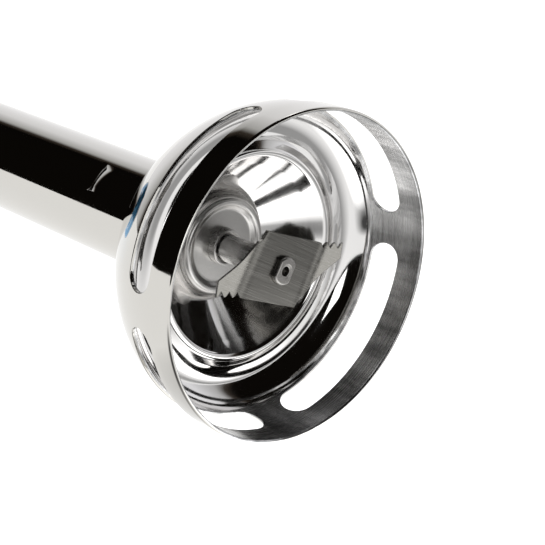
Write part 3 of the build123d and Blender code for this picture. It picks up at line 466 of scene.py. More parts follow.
def ground_steel():
    """Drive shaft: ground bright, with faint streaks along it."""
    mat = material("ground_steel", (0.90, 0.89, 0.88), metallic=1.0, roughness=0.26)
    marks = texture(mat, scale=(60, 900, 900), Scale=1.0, Detail=2.0)
    tint(mat, marks, (0.78, 0.77, 0.76), (0.95, 0.94, 0.93))
    roughen(mat, marks, 0.20, 0.32)
    return mat


def blade_steel(turn):
    """Hardened blade strip, brushed along its length, with darker streaks."""
    mat = material("blade_steel", (0.46, 0.45, 0.43), metallic=1.0, roughness=0.34)
    coord = add_node(mat, "ShaderNodeTexCoord")
    centred = add_node(mat, "ShaderNodeMapping", Location=(0, 0, -AXIS_Z * MM))
    level = add_node(mat, "ShaderNodeMapping", Rotation=(-turn, 0, 0))
    stretched = add_node(mat, "ShaderNodeMapping", Scale=(700, 60, 4200))
    grain = add_node(mat, "ShaderNodeTexNoise", Scale=1.0, Detail=5.0, Roughness=0.7)
    wire(mat, coord, "Object", centred, "Vector")
    wire(mat, centred, "Vector", level, "Vector")
    wire(mat, level, "Vector", stretched, "Vector")
    wire(mat, stretched, "Vector", grain, "Vector")
    tint(mat, grain, (0.155, 0.15, 0.137), (0.275, 0.268, 0.25))
    roughen(mat, grain, 0.17, 0.30)
    emboss(mat, grain, 0.000004, strength=0.8)
    return mat


def pearl_plastic():
    """Light blue gloss plastic with a pearl flake under a clear surface."""
    mat = material("pearl_blue_plastic", (0.10, 0.40, 0.74), metallic=0.35, roughness=0.30,
                   **{"Coat Weight": 1.0, "Coat Roughness": 0.03})
    flake = texture(mat, scale=(5200, 5200, 5200), kind="ShaderNodeTexVoronoi", Scale=1.0)
    cloud = texture(mat, scale=(28, 28, 28), Scale=1.0, Detail=3.0)
    tint(mat, cloud, (0.085, 0.36, 0.70), (0.14, 0.46, 0.80))
    roughen(mat, flake, 0.24, 0.42, output="Distance", start=0.2, end=0.8)
    emboss(mat, flake, 0.000004, strength=0.25, output="Distance")
    return mat


def moulded(name, color, roughness, grain=0.0004, relief=0.00001, shade=0.85, **sockets):
    """Moulded plastic or rubber with a spark-eroded texture."""
    mat = material(name, color, roughness=roughness, **sockets)
    fine = texture(mat, scale=(1 / grain,) * 3, Scale=1.0, Detail=3.0)
    cloud = texture(mat, scale=(40, 40, 40), Scale=1.0, Detail=4.0)
    tint(mat, cloud, tuple(c * shade for c in color), color)
    roughen(mat, fine, roughness - 0.06, roughness + 0.06)
    emboss(mat, fine, relief, strength=0.6)
    return mat


def plain_metal(name, color, roughness, grain=0.0006, relief=0.000006):
    """Cast, plated or rolled metal with a fine mottled surface."""
    mat = material(name, color, metallic=1.0, roughness=roughness)
    fine = texture(mat, scale=(1 / grain,) * 3, Scale=1.0, Detail=4.0)
    tint(mat, fine, tuple(c * 0.8 for c in color), color)
    roughen(mat, fine, roughness - 0.07, roughness + 0.07)
    emboss(mat, fine, relief, strength=0.5)
    return mat


def laminations():
    """Stacked, varnished sheets across the tool axis."""
    mat = material("laminated_steel", (0.16, 0.16, 0.18), metallic=0.9, roughness=0.45)
    leaves = texture(mat, scale=(1, 1, 1), kind="ShaderNodeTexWave", Scale=320.0, Distortion=0.0,
                     bands_direction="X")
    tint(mat, leaves, (0.07, 0.07, 0.08), (0.24, 0.24, 0.26), start=0.1, end=0.9)
    emboss(mat, leaves, 0.00005, strength=0.6)
    return mat


def windings():
    """Enamelled copper wire laid in bundles."""
    mat = material("enamelled_copper", (0.52, 0.20, 0.07), metallic=0.85, roughness=0.28,
                   **{"Coat Weight": 0.6, "Coat Roughness": 0.1})
    wires = texture(mat, scale=(1, 1, 1), kind="ShaderNodeTexWave", Scale=420.0, Distortion=3.0,
                    bands_direction="Z", Detail=1.0)
    tint(mat, wires, (0.28, 0.09, 0.03), (0.62, 0.26, 0.10), start=0.1, end=0.9)
    emboss(mat, wires, 0.0001, strength=0.8)
    return mat


BLADE_TURN = math.radians(-31.1)
FINISHES = {
    "polished_steel": polished_steel(),
    "turned_steel": turned_steel("turned_steel", (0.22, 0.36)),
    "ground_steel": ground_steel(),
    "blade_steel": blade_steel(BLADE_TURN),
    "spring_steel": plain_metal("spring_steel", (0.50, 0.50, 0.50), 0.32),
    "bearing_steel": turned_steel("bearing_steel", (0.12, 0.22)),
    "chrome_trim": plain_metal("chrome_trim", (0.88, 0.88, 0.89), 0.09, relief=0.000001),
    "pearl_blue_plastic": pearl_plastic(),
    "soft_grip_rubber": moulded("soft_grip_rubber", (0.045, 0.05, 0.06), 0.62, relief=0.00002),
    "black_rubber": moulded("black_rubber", (0.02, 0.02, 0.02), 0.55),
    "dark_plastic": moulded("dark_plastic", (0.06, 0.065, 0.07), 0.42),
    "button_grey": moulded("button_grey", (0.55, 0.58, 0.61), 0.34, **{"Coat Weight": 0.3}),
    "nylon": moulded("nylon", (0.78, 0.76, 0.69), 0.45, **{"Subsurface Weight": 0.1}),
    "sintered_bronze": plain_metal("sintered_bronze", (0.50, 0.33, 0.17), 0.45, relief=0.00002),
    "die_cast_aluminium": plain_metal("die_cast_aluminium", (0.62, 0.63, 0.64), 0.42, relief=0.00002),
    "laminated_steel": laminations(),
    "enamelled_copper": windings(),
    "commutator_copper": plain_metal("commutator_copper", (0.75, 0.38, 0.22), 0.25),
    "carbon": moulded("carbon", (0.03, 0.03, 0.032), 0.5),
    "circuit_board_green": moulded("circuit_board_green", (0.02, 0.20, 0.08), 0.3, **{"Coat Weight": 0.5}),
    "capacitor_yellow": moulded("capacitor_yellow", (0.82, 0.58, 0.08), 0.25),
}
spun = spun_steel()
turned_face = turned_steel("turned_face", (0.22, 0.34), (0.34, 0.33, 0.315))

for part in frame["record"]["subparts"]:
    node = nodes[part["node"]]
    node.data.materials.clear()
    node.data.materials.append(FINISHES[part["material_slot"]])
SLOT_OF = {part["node"]: part["material_slot"] for part in frame["record"]["subparts"]}


def dress(piece, node, finish=None):
    """Give a finished piece its node's material and body, and show it in the node's place."""
    piece.data.materials.clear()
    piece.data.materials.append(finish or FINISHES[SLOT_OF[node]])
    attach(piece, nodes[node]["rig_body"])
    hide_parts(node)
    return piece


# ------------------------------------------------------------------ bell guard
def guard_place(s, across, height, copy=0):
    """Point on the guard: s along the wall from the rim, across round it, in mm."""
    angle = across / RIM_R + copy * math.pi / 2
    if s <= SKIRT:
        return at(depth(s), RIM_R - SHEET / 2 + height, angle)
    bend = (s - SKIRT) / RIM_R
    radius = RIM_R - SHEET / 2 + height
    return at(depth(SKIRT + radius * math.sin(bend)), radius * math.cos(bend), angle)


def guard_s(distance):
    """Length along the wall from the rim to a depth."""
    if distance <= SKIRT:
        return distance
    return SKIRT + RIM_R * math.asin((distance - SKIRT) / RIM_R)


def slot_outline():
    """One slot, centred on the diagonal of a quarter of the guard."""
    end_r = (SLOT_BACK - SLOT_FRONT) / 2
    middle_s = (guard_s(SLOT_FRONT) + guard_s(SLOT_BACK)) / 2
    half = math.radians(SLOT_SPAN / 2) * RIM_R - end_r
    centre = math.pi / 4 * RIM_R
    end_steps, side_steps = 14, 34
    points = []
    for side in (1, -1):
        for step in range(end_steps + 1):
            turn = math.pi / 2 - math.pi * step / end_steps
            points.append((middle_s + side * end_r * math.sin(turn),
                           centre + side * (half + end_r * math.cos(turn))))
        for step in range(1, side_steps):
            points.append((middle_s - side * end_r, centre + side * half * (1 - 2 * step / side_steps)))
    return points


def close_guard(bm, normals, s_end):
    """The rolled lip and the cut edge at the neck, which join the guard's two faces."""
    lip = SHEET / 2
    lip_rows, neck_rows = [], []
    for index in range(TURN_STEPS):
        angle = 2 * math.pi * index / TURN_STEPS
        radial = Vector((0, math.cos(angle), math.sin(angle)))
        row = []
        for step in range(9):
            bend = math.pi * step / 8
            forward, outward = lip * math.sin(bend), lip * math.cos(bend)
            vert = bm.verts.new(at(depth(lip) + forward, RIM_R - lip + outward, angle))
            vert[normals] = radial * math.cos(bend) + Vector((1, 0, 0)) * math.sin(bend)
            row.append(vert)
        lip_rows.append(row)
        pair = [bm.verts.new(guard_place(s_end, angle * RIM_R, height)) for height in (-lip, lip)]
        for vert in pair:
            vert[normals] = radial * 0.5 - Vector((1, 0, 0))
        neck_rows.append(pair)
    for rows in (lip_rows, neck_rows):
        for index, row in enumerate(rows):
            following = rows[(index + 1) % TURN_STEPS]
            for place in range(len(row) - 1):
                bm.faces.new((row[place], row[place + 1], following[place + 1], following[place]))


def build_guard():
    lip = SHEET / 2
    s_start = lip
    s_end = SKIRT + RIM_R * math.acos(TUBE_R / RIM_R)
    quarter = math.pi / 2 * RIM_R
    columns, rows = TURN_STEPS // 4, 36
    edge_ease, margin = 0.16, 0.55
    slot = slot_outline()
    across = [quarter * i / columns for i in range(columns + 1)]
    along = [s_start + (s_end - s_start) * j / rows for j in range(rows + 1)]
    border = ([(s_start, v) for v in across[:-1]] + [(s, quarter) for s in along[:-1]]
              + [(s_end, v) for v in across[:0:-1]] + [(s, 0) for s in along[:0:-1]])
    fill = [(s, v) for s in along[1:-1] for v in across[1:-1]
            if not inside((s, v), slot) and away((s, v), slot) > margin]
    return sheet_metal("bell_guard_shell", [border], [slot], fill, guard_place, SHEET, edge_ease, copies=4,
                       close_border=lambda bm, normals: close_guard(bm, normals, s_end))


dress(build_guard(), "bell_guard")

# ------------------------------------------------------------------ inside the bell
def arc(start, middle, end, steps):
    """Points on the circle through three flat points, its ends left out."""
    (ax, ay), (bx, by), (cx, cy) = start, middle, end
    d = 2 * (ax * (by - cy) + bx * (cy - ay) + cx * (ay - by))
    ux = ((ax**2 + ay**2) * (by - cy) + (bx**2 + by**2) * (cy - ay) + (cx**2 + cy**2) * (ay - by)) / d
    uy = ((ax**2 + ay**2) * (cx - bx) + (bx**2 + by**2) * (ax - cx) + (cx**2 + cy**2) * (bx - ax)) / d
    radius = math.hypot(ax - ux, ay - uy)
    first = math.atan2(ay - uy, ax - ux)
    swing = math.atan2(cy - uy, cx - ux) - first
    while swing > math.pi:
        swing -= 2 * math.pi
    while swing < -math.pi:
        swing += 2 * math.pi
    turns = [first + swing * i / steps for i in range(1, steps)]
    return [(ux + radius * math.cos(turn), uy + radius * math.sin(turn)) for turn in turns]


def guard_inner_r(distance):
    return math.sqrt((RIM_R - SHEET)**2 - (distance - SKIRT)**2)


LINER_SHEET = 0.8
LINER_EDGE = 13.7
CHANNEL_DEPTH, CHANNEL_R = 18.0, 25.5
RIDGE_DEPTH, RIDGE_R, RIDGE_ROUND = 16.0, 21.4, 2.6
BOWL_MIDDLE = (21.6, 15.8)
BOWL_END = (26.0, 10.5)


def channel(distance, r, back=0.0, steps=14):
    """Points from the channel's lowest circle to a point of the liner, set back by a thickness."""
    fall = CHANNEL_DEPTH - distance
    bend = (fall**2 + (r - CHANNEL_R)**2) / (2 * fall)
    lean = math.asin((r - CHANNEL_R) / bend)
    points = []
    for step in range(1, steps + 1):
        turn = lean * step / steps
        spot = CHANNEL_DEPTH - bend + (bend + back) * math.cos(turn)
        radius = min(CHANNEL_R + (bend + back) * math.sin(turn), guard_inner_r(spot) + 0.2)
        points.append((depth(spot), radius, 0))
    return points


def build_liner():
    ridge = (depth(RIDGE_DEPTH), RIDGE_R)
    middle = (depth(BOWL_MIDDLE[0]), BOWL_MIDDLE[1])
    end = (depth(BOWL_END[0]), BOWL_END[1])
    outer = channel(LINER_EDGE, guard_inner_r(LINER_EDGE))
    outer_back = channel(LINER_EDGE, guard_inner_r(LINER_EDGE), LINER_SHEET)[:-3]
    inner = channel(RIDGE_DEPTH, RIDGE_R)
    # points close to the ridge are left out on both sides, so that it can be rounded
    flank = inner[:-8]
    bowl = [(x, r, 0) for x, r in arc(ridge, middle, end, 30)[7:]]
    corners = [(outer[-1][0], outer[-1][1], 0.05), *outer[-2::-1], (depth(CHANNEL_DEPTH), CHANNEL_R, 0),
               *flank, (*ridge, RIDGE_ROUND), *bowl,
               (*end, 0.1), (end[0] - 1.1, end[1], 0.1),
               *[(x - 0.7, r + 0.5, 0) for x, r in arc(end, middle, ridge, 16)],
               (ridge[0] - 1.2, ridge[1] + 0.1, 0.3),
               (depth(CHANNEL_DEPTH + LINER_SHEET), CHANNEL_R, 0), *outer_back]
    return lathe("bell_liner_pressing", corners, steps=9)


dress(build_liner(), "bell_liner", spun)

HUB_FACE, HUB_FACE_R, HUB_R = 25.0, 7.7, BOWL_END[1]
SHOULDER_FRONT, SHOULDER_BACK = 33.5, 35.0          # collar that the tube butts against
CARRIER_R, CARRIER_BACK = 11.0, 64.0
SEAL_FRONT, SEAL_BACK, SEAL_R, BACK_BORE_R = 42.0, 49.0, 8.0, 4.4
BUSH_FRONT, BUSH_R, BUSH_BORE_R, BUSH_MOUTH, BUSH_MOUTH_R = 23.0, 3.8, 2.95, 24.2, 3.3
hub_ring = [(depth(24.4), 8.5), (depth(23.9), 9.4), (depth(24.5), 10.3)]
carrier = lathe("bush_carrier_turned", [
    (depth(HUB_FACE), BUSH_R, 0.1), (depth(HUB_FACE), HUB_FACE_R, 0.35), (*hub_ring[0], 0.3),
    *[(x, r, 0) for x, r in arc(*hub_ring, 8)], (*hub_ring[2], 0.25), (depth(BOWL_END[0]), HUB_R, 0.1),
    (depth(SHOULDER_FRONT), HUB_R, 0.1), (depth(SHOULDER_FRONT), TUBE_R, 0.1),
    (depth(SHOULDER_BACK), TUBE_R, 0.1), (depth(SHOULDER_BACK), CARRIER_R, 0.1),
    (depth(CARRIER_BACK), CARRIER_R, 0.2), (depth(CARRIER_BACK), BACK_BORE_R, 0.1),
    (depth(SEAL_BACK), BACK_BORE_R, 0.1), (depth(SEAL_BACK), SEAL_R, 0.1),
    (depth(SEAL_FRONT), SEAL_R, 0.1), (depth(SEAL_FRONT), BUSH_R, 0.1)], segments=160)
dress(carrier, "bush_carrier")

bush = lathe("lower_bush_turned", [
    (depth(BUSH_FRONT), BUSH_MOUTH_R, 0.12), (depth(BUSH_FRONT), BUSH_R, 0.18),
    (depth(SEAL_FRONT), BUSH_R, 0.1), (depth(SEAL_FRONT), BUSH_BORE_R, 0.05),
    (depth(BUSH_MOUTH), BUSH_BORE_R, 0.05), (depth(BUSH_MOUTH), BUSH_MOUTH_R, 0.05)], segments=96)
dress(bush, "lower_bush")


# ------------------------------------------------------------------ tube with its crimps
CRIMP_DEPTH, CRIMP_COUNT, CRIMP_FIRST = 58.0, 3, math.radians(131.3)
CRIMP_HALF_LENGTH, NOSE_R, NOSE_RISE = 2.75, 3.2, 2.6


def crimp(x, radius, angle):
    """How far the tube's wall is pressed in by a round-nosed tool at a place."""
    sunk = 0.0
    for index in range(CRIMP_COUNT):
        turn = (angle - CRIMP_FIRST - index * 2 * math.pi / CRIMP_COUNT + math.pi) % (2 * math.pi) - math.pi
        across = max(abs(turn) * (radius + NOSE_RISE) - CRIMP_HALF_LENGTH, 0)
        reach = math.hypot(across, x - depth(CRIMP_DEPTH))
        if reach < NOSE_R:
            sunk = max(sunk, math.sqrt(NOSE_R**2 - reach**2) - NOSE_RISE)
    return -sunk


def build_tube():
    """The tube as a grid round its axis, finer at the crimps."""
    front, back_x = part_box("shaft_tube")[1].x / MM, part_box("shaft_tube")[0].x / MM
    wall = 0.7
    stations = [front, front - 0.3]
    x = front - 2
    while x > back_x + 1:
        stations.append(x)
        off = abs(x - depth(CRIMP_DEPTH))
        x -= 0.12 if off < 2.4 else (0.5 if off < 5 else 4.0)
    stations += [back_x + 0.3, back_x]
    segments = 512
    bm = bmesh.new()
    normals = bm.verts.layers.float_vector.new("outward")
    rows = []
    step = 0.02
    for x in stations:
        row = []
        for index in range(segments):
            angle = 2 * math.pi * index / segments
            radius = TUBE_R + crimp(x, TUBE_R, angle)
            slope_x = (crimp(x + step, TUBE_R, angle) - crimp(x - step, TUBE_R, angle)) / (2 * step)
            turn = step / TUBE_R
            slope_a = (crimp(x, TUBE_R, angle + turn) - crimp(x, TUBE_R, angle - turn)) / (2 * step)
            vert = bm.verts.new(at(x, radius, angle))
            radial = Vector((0, math.cos(angle), math.sin(angle)))
            around = Vector((0, -math.sin(angle), math.cos(angle)))
            vert[normals] = radial - Vector((1, 0, 0)) * slope_x - around * slope_a
            row.append(vert)
        rows.append(row)
    inner = []
    for x in (back_x, front):
        row = []
        for index in range(segments):
            angle = 2 * math.pi * index / segments
            vert = bm.verts.new(at(x, TUBE_R - wall, angle))
            vert[normals] = -Vector((0, math.cos(angle), math.sin(angle)))
            row.append(vert)
        inner.append(row)
    skin(bm, rows + inner + rows[:1])
    bmesh.ops.recalc_face_normals(bm, faces=bm.faces)
    return finish_mesh("shaft_tube_drawn", bm, normals)


dress(build_tube(), "shaft_tube")

# ------------------------------------------------------------------ drive shaft and blade
FLATS = 4.3
PLATE_FACE, BLADE_THICK = 6.7, 1.2
long_way = Vector((0, math.cos(BLADE_TURN), math.sin(BLADE_TURN)))
wide_way = Vector((0, -math.sin(BLADE_TURN), math.cos(BLADE_TURN)))


def blade_rise(u, fold=7.9, slope=math.radians(32), ease=1.5):
    """Height of the strip's middle towards the mouth, and its lean, at u along the blade."""
    over = abs(u) - fold
    side = 1 if u > 0 else -1
    if over < -ease:
        return 0.0, 0.0
    if over > ease:
        return side * over * math.tan(slope), slope
    t = (over + ease) / (2 * ease)
    lean = math.atan(math.tan(slope) * t)
    return side * math.tan(slope) * ease * t * t, lean


def blade_place(u, v, height, copy=0):
    rise, lean = blade_rise(u)
    centre = Vector((depth(PLATE_FACE + BLADE_THICK / 2), 0, AXIS_Z))
    along = long_way * (u - height * math.sin(lean))
    return (centre + along + wide_way * v + Vector((1, 0, 0)) * (rise + height * math.cos(lean))) * MM


def curve_through(points, steps):
    """Smooth points through three or more flat points, both ends kept."""
    out = []
    for index in range(len(points) - 1):
        p1, p2 = Vector(points[index]), Vector(points[index + 1])
        p0 = Vector(points[index - 1]) if index else p1 * 2 - p2
        p3 = Vector(points[index + 2]) if index + 2 < len(points) else p2 * 2 - p1
        for step in range(steps):
            t = step / steps
            out.append(tuple(0.5 * ((2 * p1) + (p2 - p0) * t + (2 * p0 - 5 * p1 + 4 * p2 - p3) * t * t
                                    + (3 * p1 - p0 - 3 * p2 + p3) * t ** 3)))
    return out + [tuple(points[-1])]


def blade_half():
    """Half of the blade's outline: notch, raked back edge, tip and toothed edge."""
    corner, notch, root = (7.4, -6.0), (7.75, -4.1), (8.5, -2.7)
    rake, tip_back, tip_front, plate_corner = (9.9, 1.9), (12.1, 6.7), (11.4, 9.8), (7.6, 8.1)
    points = curve_through([corner, notch, root, rake, tip_back], 7)
    teeth, deep = 3, 1.15
    start, end = Vector(tip_front), Vector(plate_corner)
    along = (end - start) / teeth
    inwards = Vector((-along.y, along.x)).normalized() * deep
    for tooth in range(teeth):
        crest = start + along * tooth
        valley = crest + along * 0.70 + inwards
        back_slope = crest + along * 0.30 + inwards * 0.30
        points += [tuple(crest), tuple(back_slope), tuple(valley)]
    return points + [plate_corner]


half_outline = blade_half()
blade_outline = half_outline + [(-u, -v) for u, v in half_outline]


def shaft_hole(radius, flats, steps=9, flat_steps=1):
    """Round hole with two flats, as a closed loop."""
    half = flats / 2
    limit = math.acos(half / radius)
    points = []
    for side in (0, 1):
        for step in range(steps + 1):
            turn = side * math.pi + limit + (math.pi - 2 * limit) * step / steps
            points.append((radius * math.cos(turn), radius * math.sin(turn)))
        end = radius * math.sin(limit)
        flat_u = half if side else -half
        for step in range(1, flat_steps):
            points.append((flat_u, -math.copysign(end, flat_u) * (1 - 2 * step / flat_steps)))
    return points


hole = shaft_hole(SHAFT_R + 0.04, FLATS + 0.08)
blade_fill = []
for column in range(-25, 26):
    for line in range(-20, 21):
        spot = (column * 0.5, line * 0.5)
        if (inside(spot, blade_outline) and not inside(spot, hole)
                and away(spot, blade_outline) > 0.3 and away(spot, hole) > 0.3):
            blade_fill.append(spot)
blade = sheet_metal("blade_strip", [blade_outline], [hole], blade_fill, blade_place, BLADE_THICK, 0.07)
dress(blade, "blade")


def build_shaft():
    """Ground shaft: centre-drilled end with two flats, a circlip groove, and a plain length."""
    tip, shoulder = 5.5, PLATE_FACE + BLADE_THICK
    tail_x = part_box("drive_shaft")[0].x / MM
    groove_front, groove_back, groove_r = depth(64.9), depth(65.7), 2.5
    body = lathe("drive_shaft_ground", [
        (depth(shoulder), 0, 0.02), (depth(shoulder), SHAFT_R, 0.12), (groove_front, SHAFT_R, 0.08),
        (groove_front, groove_r, 0.05), (groove_back, groove_r, 0.05), (groove_back, SHAFT_R, 0.08),
        (tail_x, SHAFT_R, 0.3), (tail_x, 0, 0.02)], segments=96)
    bm = bmesh.new()
    normals = bm.verts.layers.float_vector.new("outward")
    loop = shaft_hole(SHAFT_R, FLATS, 16, 12)
    drill_r, drill_deep, ease = 1.0, 2.6, 0.5
    rings = []

    def ring_of(scale, x, lean, rounded_to=None):
        row = []
        for u, v in loop:
            angle = math.atan2(v, u)
            radius = math.hypot(u, v)
            size = radius + scale if rounded_to is None else rounded_to
            spot = long_way * size * math.cos(angle) + wide_way * size * math.sin(angle)
            vert = bm.verts.new((Vector((x, 0, AXIS_Z)) + spot) * MM)
            flat = abs(abs(u) - FLATS / 2) < 0.01 and abs(v) < SHAFT_R * 0.66
            radial = long_way * (math.copysign(1, u) if flat else math.cos(angle))
            radial = radial + wide_way * (0 if flat else math.sin(angle))
            vert[normals] = radial * math.cos(lean) + Vector((1, 0, 0)) * math.sin(lean)
            row.append(vert)
        rings.append(row)

    ring_of(0, depth(shoulder), 0)
    for step in range(5):
        bend = math.pi / 2 * step / 4
        ring_of(-ease * (1 - math.cos(bend)), depth(tip + ease - ease * math.sin(bend)), bend)
    for radius, sunk, lean in ((1.60, 0.0, 90), (1.52, 0.05, 125), (1.42, 0.08, 95), (1.10, 0.14, 105),
                               (drill_r, 0.22, 140), (drill_r - 0.04, 0.4, 180)):
        ring_of(0, depth(tip + sunk), math.radians(lean), radius)
    ring_of(0, depth(tip + drill_deep * 0.7), math.radians(180), drill_r - 0.06)
    ring_of(0, depth(tip + drill_deep), math.radians(120), 0.02)
    skin(bm, rings)
    bmesh.ops.recalc_face_normals(bm, faces=bm.faces)
    return body, finish_mesh("drive_shaft_end", bm, normals)


shaft_body, shaft_end = build_shaft()
dress(shaft_body, "drive_shaft")
dress(shaft_end, "drive_shaft", turned_face)

# ------------------------------------------------------------------ handle and the other pieces
EASED = {"front_shell": 0.12, "back_shell": 0.12, "back_grip": 0.5, "button_panel": 0.15, "end_cap": 0.15,
         "cord_gland": 0.15, "socket_ring": 0.1, "socket_trim": 0.1, "rod_collar": 0.1, "collar_trim": 0.1,
         "speed_button": 0.2, "turbo_button": 0.2, "release_button_left": 0.15,
         "release_button_right": 0.15, "speed_dial": 0.15}
for node, ease in EASED.items():
    dress(smooth_copy(node, ease=ease), node)

# ------------------------------------------------------------------ springs
def coil_tree():
    """Geometry Nodes tree that puts a wire coil on every vertex of a mesh."""
    tree = bpy.data.node_groups.new("coil_springs", "GeometryNodeTree")
    sockets = tree.interface
    sockets.new_socket("Feet", in_out="INPUT", socket_type="NodeSocketGeometry")
    for name in ("Coil Radius", "Wire Radius", "Height", "Turns"):
        sockets.new_socket(name, in_out="INPUT", socket_type="NodeSocketFloat")
    sockets.new_socket("Direction", in_out="INPUT", socket_type="NodeSocketVector")
    sockets.new_socket("Finish", in_out="INPUT", socket_type="NodeSocketMaterial")
    sockets.new_socket("Springs", in_out="OUTPUT", socket_type="NodeSocketGeometry")

    def node(kind, **values):
        made = tree.nodes.new(kind)
        for socket, value in values.items():
            made.inputs[socket.replace("_", " ")].default_value = value
        return made

    given = node("NodeGroupInput")
    spiral = node("GeometryNodeCurveSpiral", Resolution=40)
    wire_ring = node("GeometryNodeCurvePrimitiveCircle", Resolution=12)
    coil = node("GeometryNodeCurveToMesh", Fill_Caps=True)
    smooth = node("GeometryNodeSetShadeSmooth")
    lean = node("FunctionNodeAlignRotationToVector")
    lean.axis = "Z"
    placed = node("GeometryNodeInstanceOnPoints")
    joined = node("GeometryNodeRealizeInstances")
    dressed = node("GeometryNodeSetMaterial")
    result = node("NodeGroupOutput")
    for source, output, target, socket in (
            (given, "Turns", spiral, "Rotations"), (given, "Coil Radius", spiral, "Start Radius"),
            (given, "Coil Radius", spiral, "End Radius"), (given, "Height", spiral, "Height"),
            (given, "Wire Radius", wire_ring, "Radius"), (spiral, 0, coil, "Curve"),
            (wire_ring, 0, coil, "Profile Curve"), (coil, 0, smooth, 0), (given, "Direction", lean, "Vector"),
            (given, "Feet", placed, "Points"), (smooth, 0, placed, "Instance"),
            (lean, 0, placed, "Rotation"), (placed, 0, joined, 0), (joined, 0, dressed, 0),
            (given, "Finish", dressed, "Material"), (dressed, 0, result, 0)):
        tree.links.new(source.outputs[output], target.inputs[socket])
    return tree


COILS = coil_tree()


def springs(name, node, feet, direction, **sizes):
    """Coils made by the tree, applied to a plain mesh; feet and sizes are in mm."""
    mesh = bpy.data.meshes.new(name)
    mesh.from_pydata([Vector(foot) * MM for foot in feet], [], [])
    piece = bpy.data.objects.new(name, mesh)
    bpy.context.scene.collection.objects.link(piece)
    modifier = piece.modifiers.new("coils", "NODES")
    modifier.node_group = COILS
    values = {key.replace("_", " "): value * (1 if key == "Turns" else MM) for key, value in sizes.items()}
    values["Direction"] = direction
    values["Finish"] = FINISHES[SLOT_OF[node]]
    for item in COILS.interface.items_tree:
        if item.in_out == "INPUT" and item.name in values:
            modifier[item.identifier] = values[item.name]
    bpy.context.view_layer.update()
    made = bpy.data.meshes.new_from_object(piece.evaluated_get(bpy.context.evaluated_depsgraph_get()))
    piece.modifiers.clear()
    piece.data = made
    return dress(piece, node)


BUTTON_WIRE_R, END_GAP = 0.25, 0.02
BRUSH_SPRING_FOOT = 13.75   # from the tool axis to the middle of a brush spring's first turn
for button in ("speed", "turbo"):
    node = f"{button}_button_spring"
    low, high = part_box(node)
    middle_x = (low.x + high.x) / 2 / MM
    foot = low.z / MM + BUTTON_WIRE_R + END_GAP
    top = high.z / MM - BUTTON_WIRE_R - END_GAP
    spring = springs(f"{node}_coil", node, [(middle_x, 0, foot)], (0, 0, 1), Coil_Radius=2.6,
                     Wire_Radius=BUTTON_WIRE_R, Height=top - foot, Turns=3.0)
    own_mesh(spring)
brush_low, brush_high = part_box("brush_springs")
brush_x = (brush_low.x + brush_high.x) / 2 / MM
for side, hand in ((-1, "left"), (1, "right")):
    springs(f"brush_spring_{hand}", "brush_springs", [(brush_x, side * BRUSH_SPRING_FOOT, AXIS_Z)],
            (0, side, 0), Coil_Radius=2.0, Wire_Radius=0.2, Height=2.4, Turns=3.0)

# ------------------------------------------------------------------ camera, studio
CAMERA_AZIMUTH, CAMERA_ELEVATION = math.radians(48), math.radians(22)
CAMERA_DISTANCE = 300
AIM_LEFT, AIM_UP = 6.4, 1.4
rim_centre = Vector((RIM_X, 0, AXIS_Z)) * MM
back = Vector((math.sin(CAMERA_AZIMUTH) * math.cos(CAMERA_ELEVATION),
               -math.cos(CAMERA_AZIMUTH) * math.cos(CAMERA_ELEVATION), math.sin(CAMERA_ELEVATION)))
right = Vector((math.cos(CAMERA_AZIMUTH), math.sin(CAMERA_AZIMUTH), 0))
up = back.cross(right)
camera = bpy.data.objects.new("camera", bpy.data.cameras.new("camera"))
bpy.context.scene.collection.objects.link(camera)
camera.data.sensor_width = 36
camera.data.lens = 102.3
camera.data.clip_start = 0.01
camera.location = rim_centre + (back * CAMERA_DISTANCE - right * AIM_LEFT + up * AIM_UP) * MM
camera.rotation_euler = back.to_track_quat("Z", "Y").to_euler()
bpy.context.scene.camera = camera


ROD_MIDDLE = Vector((0.15, 0, 0.034))


def card(name, offset, size, strength):
    """A soft box: an area light at an offset from the rod's middle, aimed at it."""
    light = bpy.data.lights.new(name, "AREA")
    light.shape = "RECTANGLE"
    light.size, light.size_y = size
    light.energy = strength
    lamp = bpy.data.objects.new(name, light)
    lamp.location = ROD_MIDDLE + offset
    lamp.rotation_euler = offset.to_track_quat("Z", "Y").to_euler()
    bpy.context.scene.collection.objects.link(lamp)


PAPER_LEVEL, PAPER_REACH = -0.002, 3.0
SHADING_SHEET_LEVEL, SHADING_SHEET_REACH = -0.001, 2.5


def studio_floor(name, height, reach, strength):
    """A glowing sheet level under the object: the white paper, or the sheet that carries painted floor shade
    and painted light.
    """
    mesh = bpy.data.meshes.new(name)
    mesh.from_pydata([(-reach, -reach, height), (reach, -reach, height), (reach, reach, height),
                      (-reach, reach, height)], [], [(0, 1, 2, 3)])
    sheet = bpy.data.objects.new(name, mesh)
    bpy.context.scene.collection.objects.link(sheet)
    sheet.data.materials.append(material(name, (0.1, 0.1, 0.1), roughness=0.9, **{
        "Emission Color": (1, 1, 1, 1), "Emission Strength": strength}))
    return sheet


studio_floor("studio_paper", PAPER_LEVEL, PAPER_REACH, 1.4)
# floor sheet hidden from the camera and seen only in reflections; its glow carries painted shade and a
# painted pool of light
painted_shading_sheet = studio_floor("painted_shading_floor", SHADING_SHEET_LEVEL, SHADING_SHEET_REACH, 0.0)
painted_shading_sheet.visible_camera = False


def studio_walls(reach, height):
    """White walls behind the object for the camera only, so that reflections keep the dark room."""
    mesh = bpy.data.meshes.new("studio_walls")
    corners = [(-reach, -reach), (reach, -reach), (reach, reach), (-reach, reach)]
    points = [(x, y, z) for z in (PAPER_LEVEL, height) for x, y in corners]
    mesh.from_pydata(points, [], [(i, (i + 1) % 4, (i + 1) % 4 + 4, i + 4) for i in range(4)])
    walls = bpy.data.objects.new("studio_walls", mesh)
    bpy.context.scene.collection.objects.link(walls)
    mesh.materials.append(bpy.data.materials["studio_paper"])
    walls.visible_diffuse = False
    walls.visible_glossy = False
    walls.visible_transmission = False
    walls.visible_shadow = False


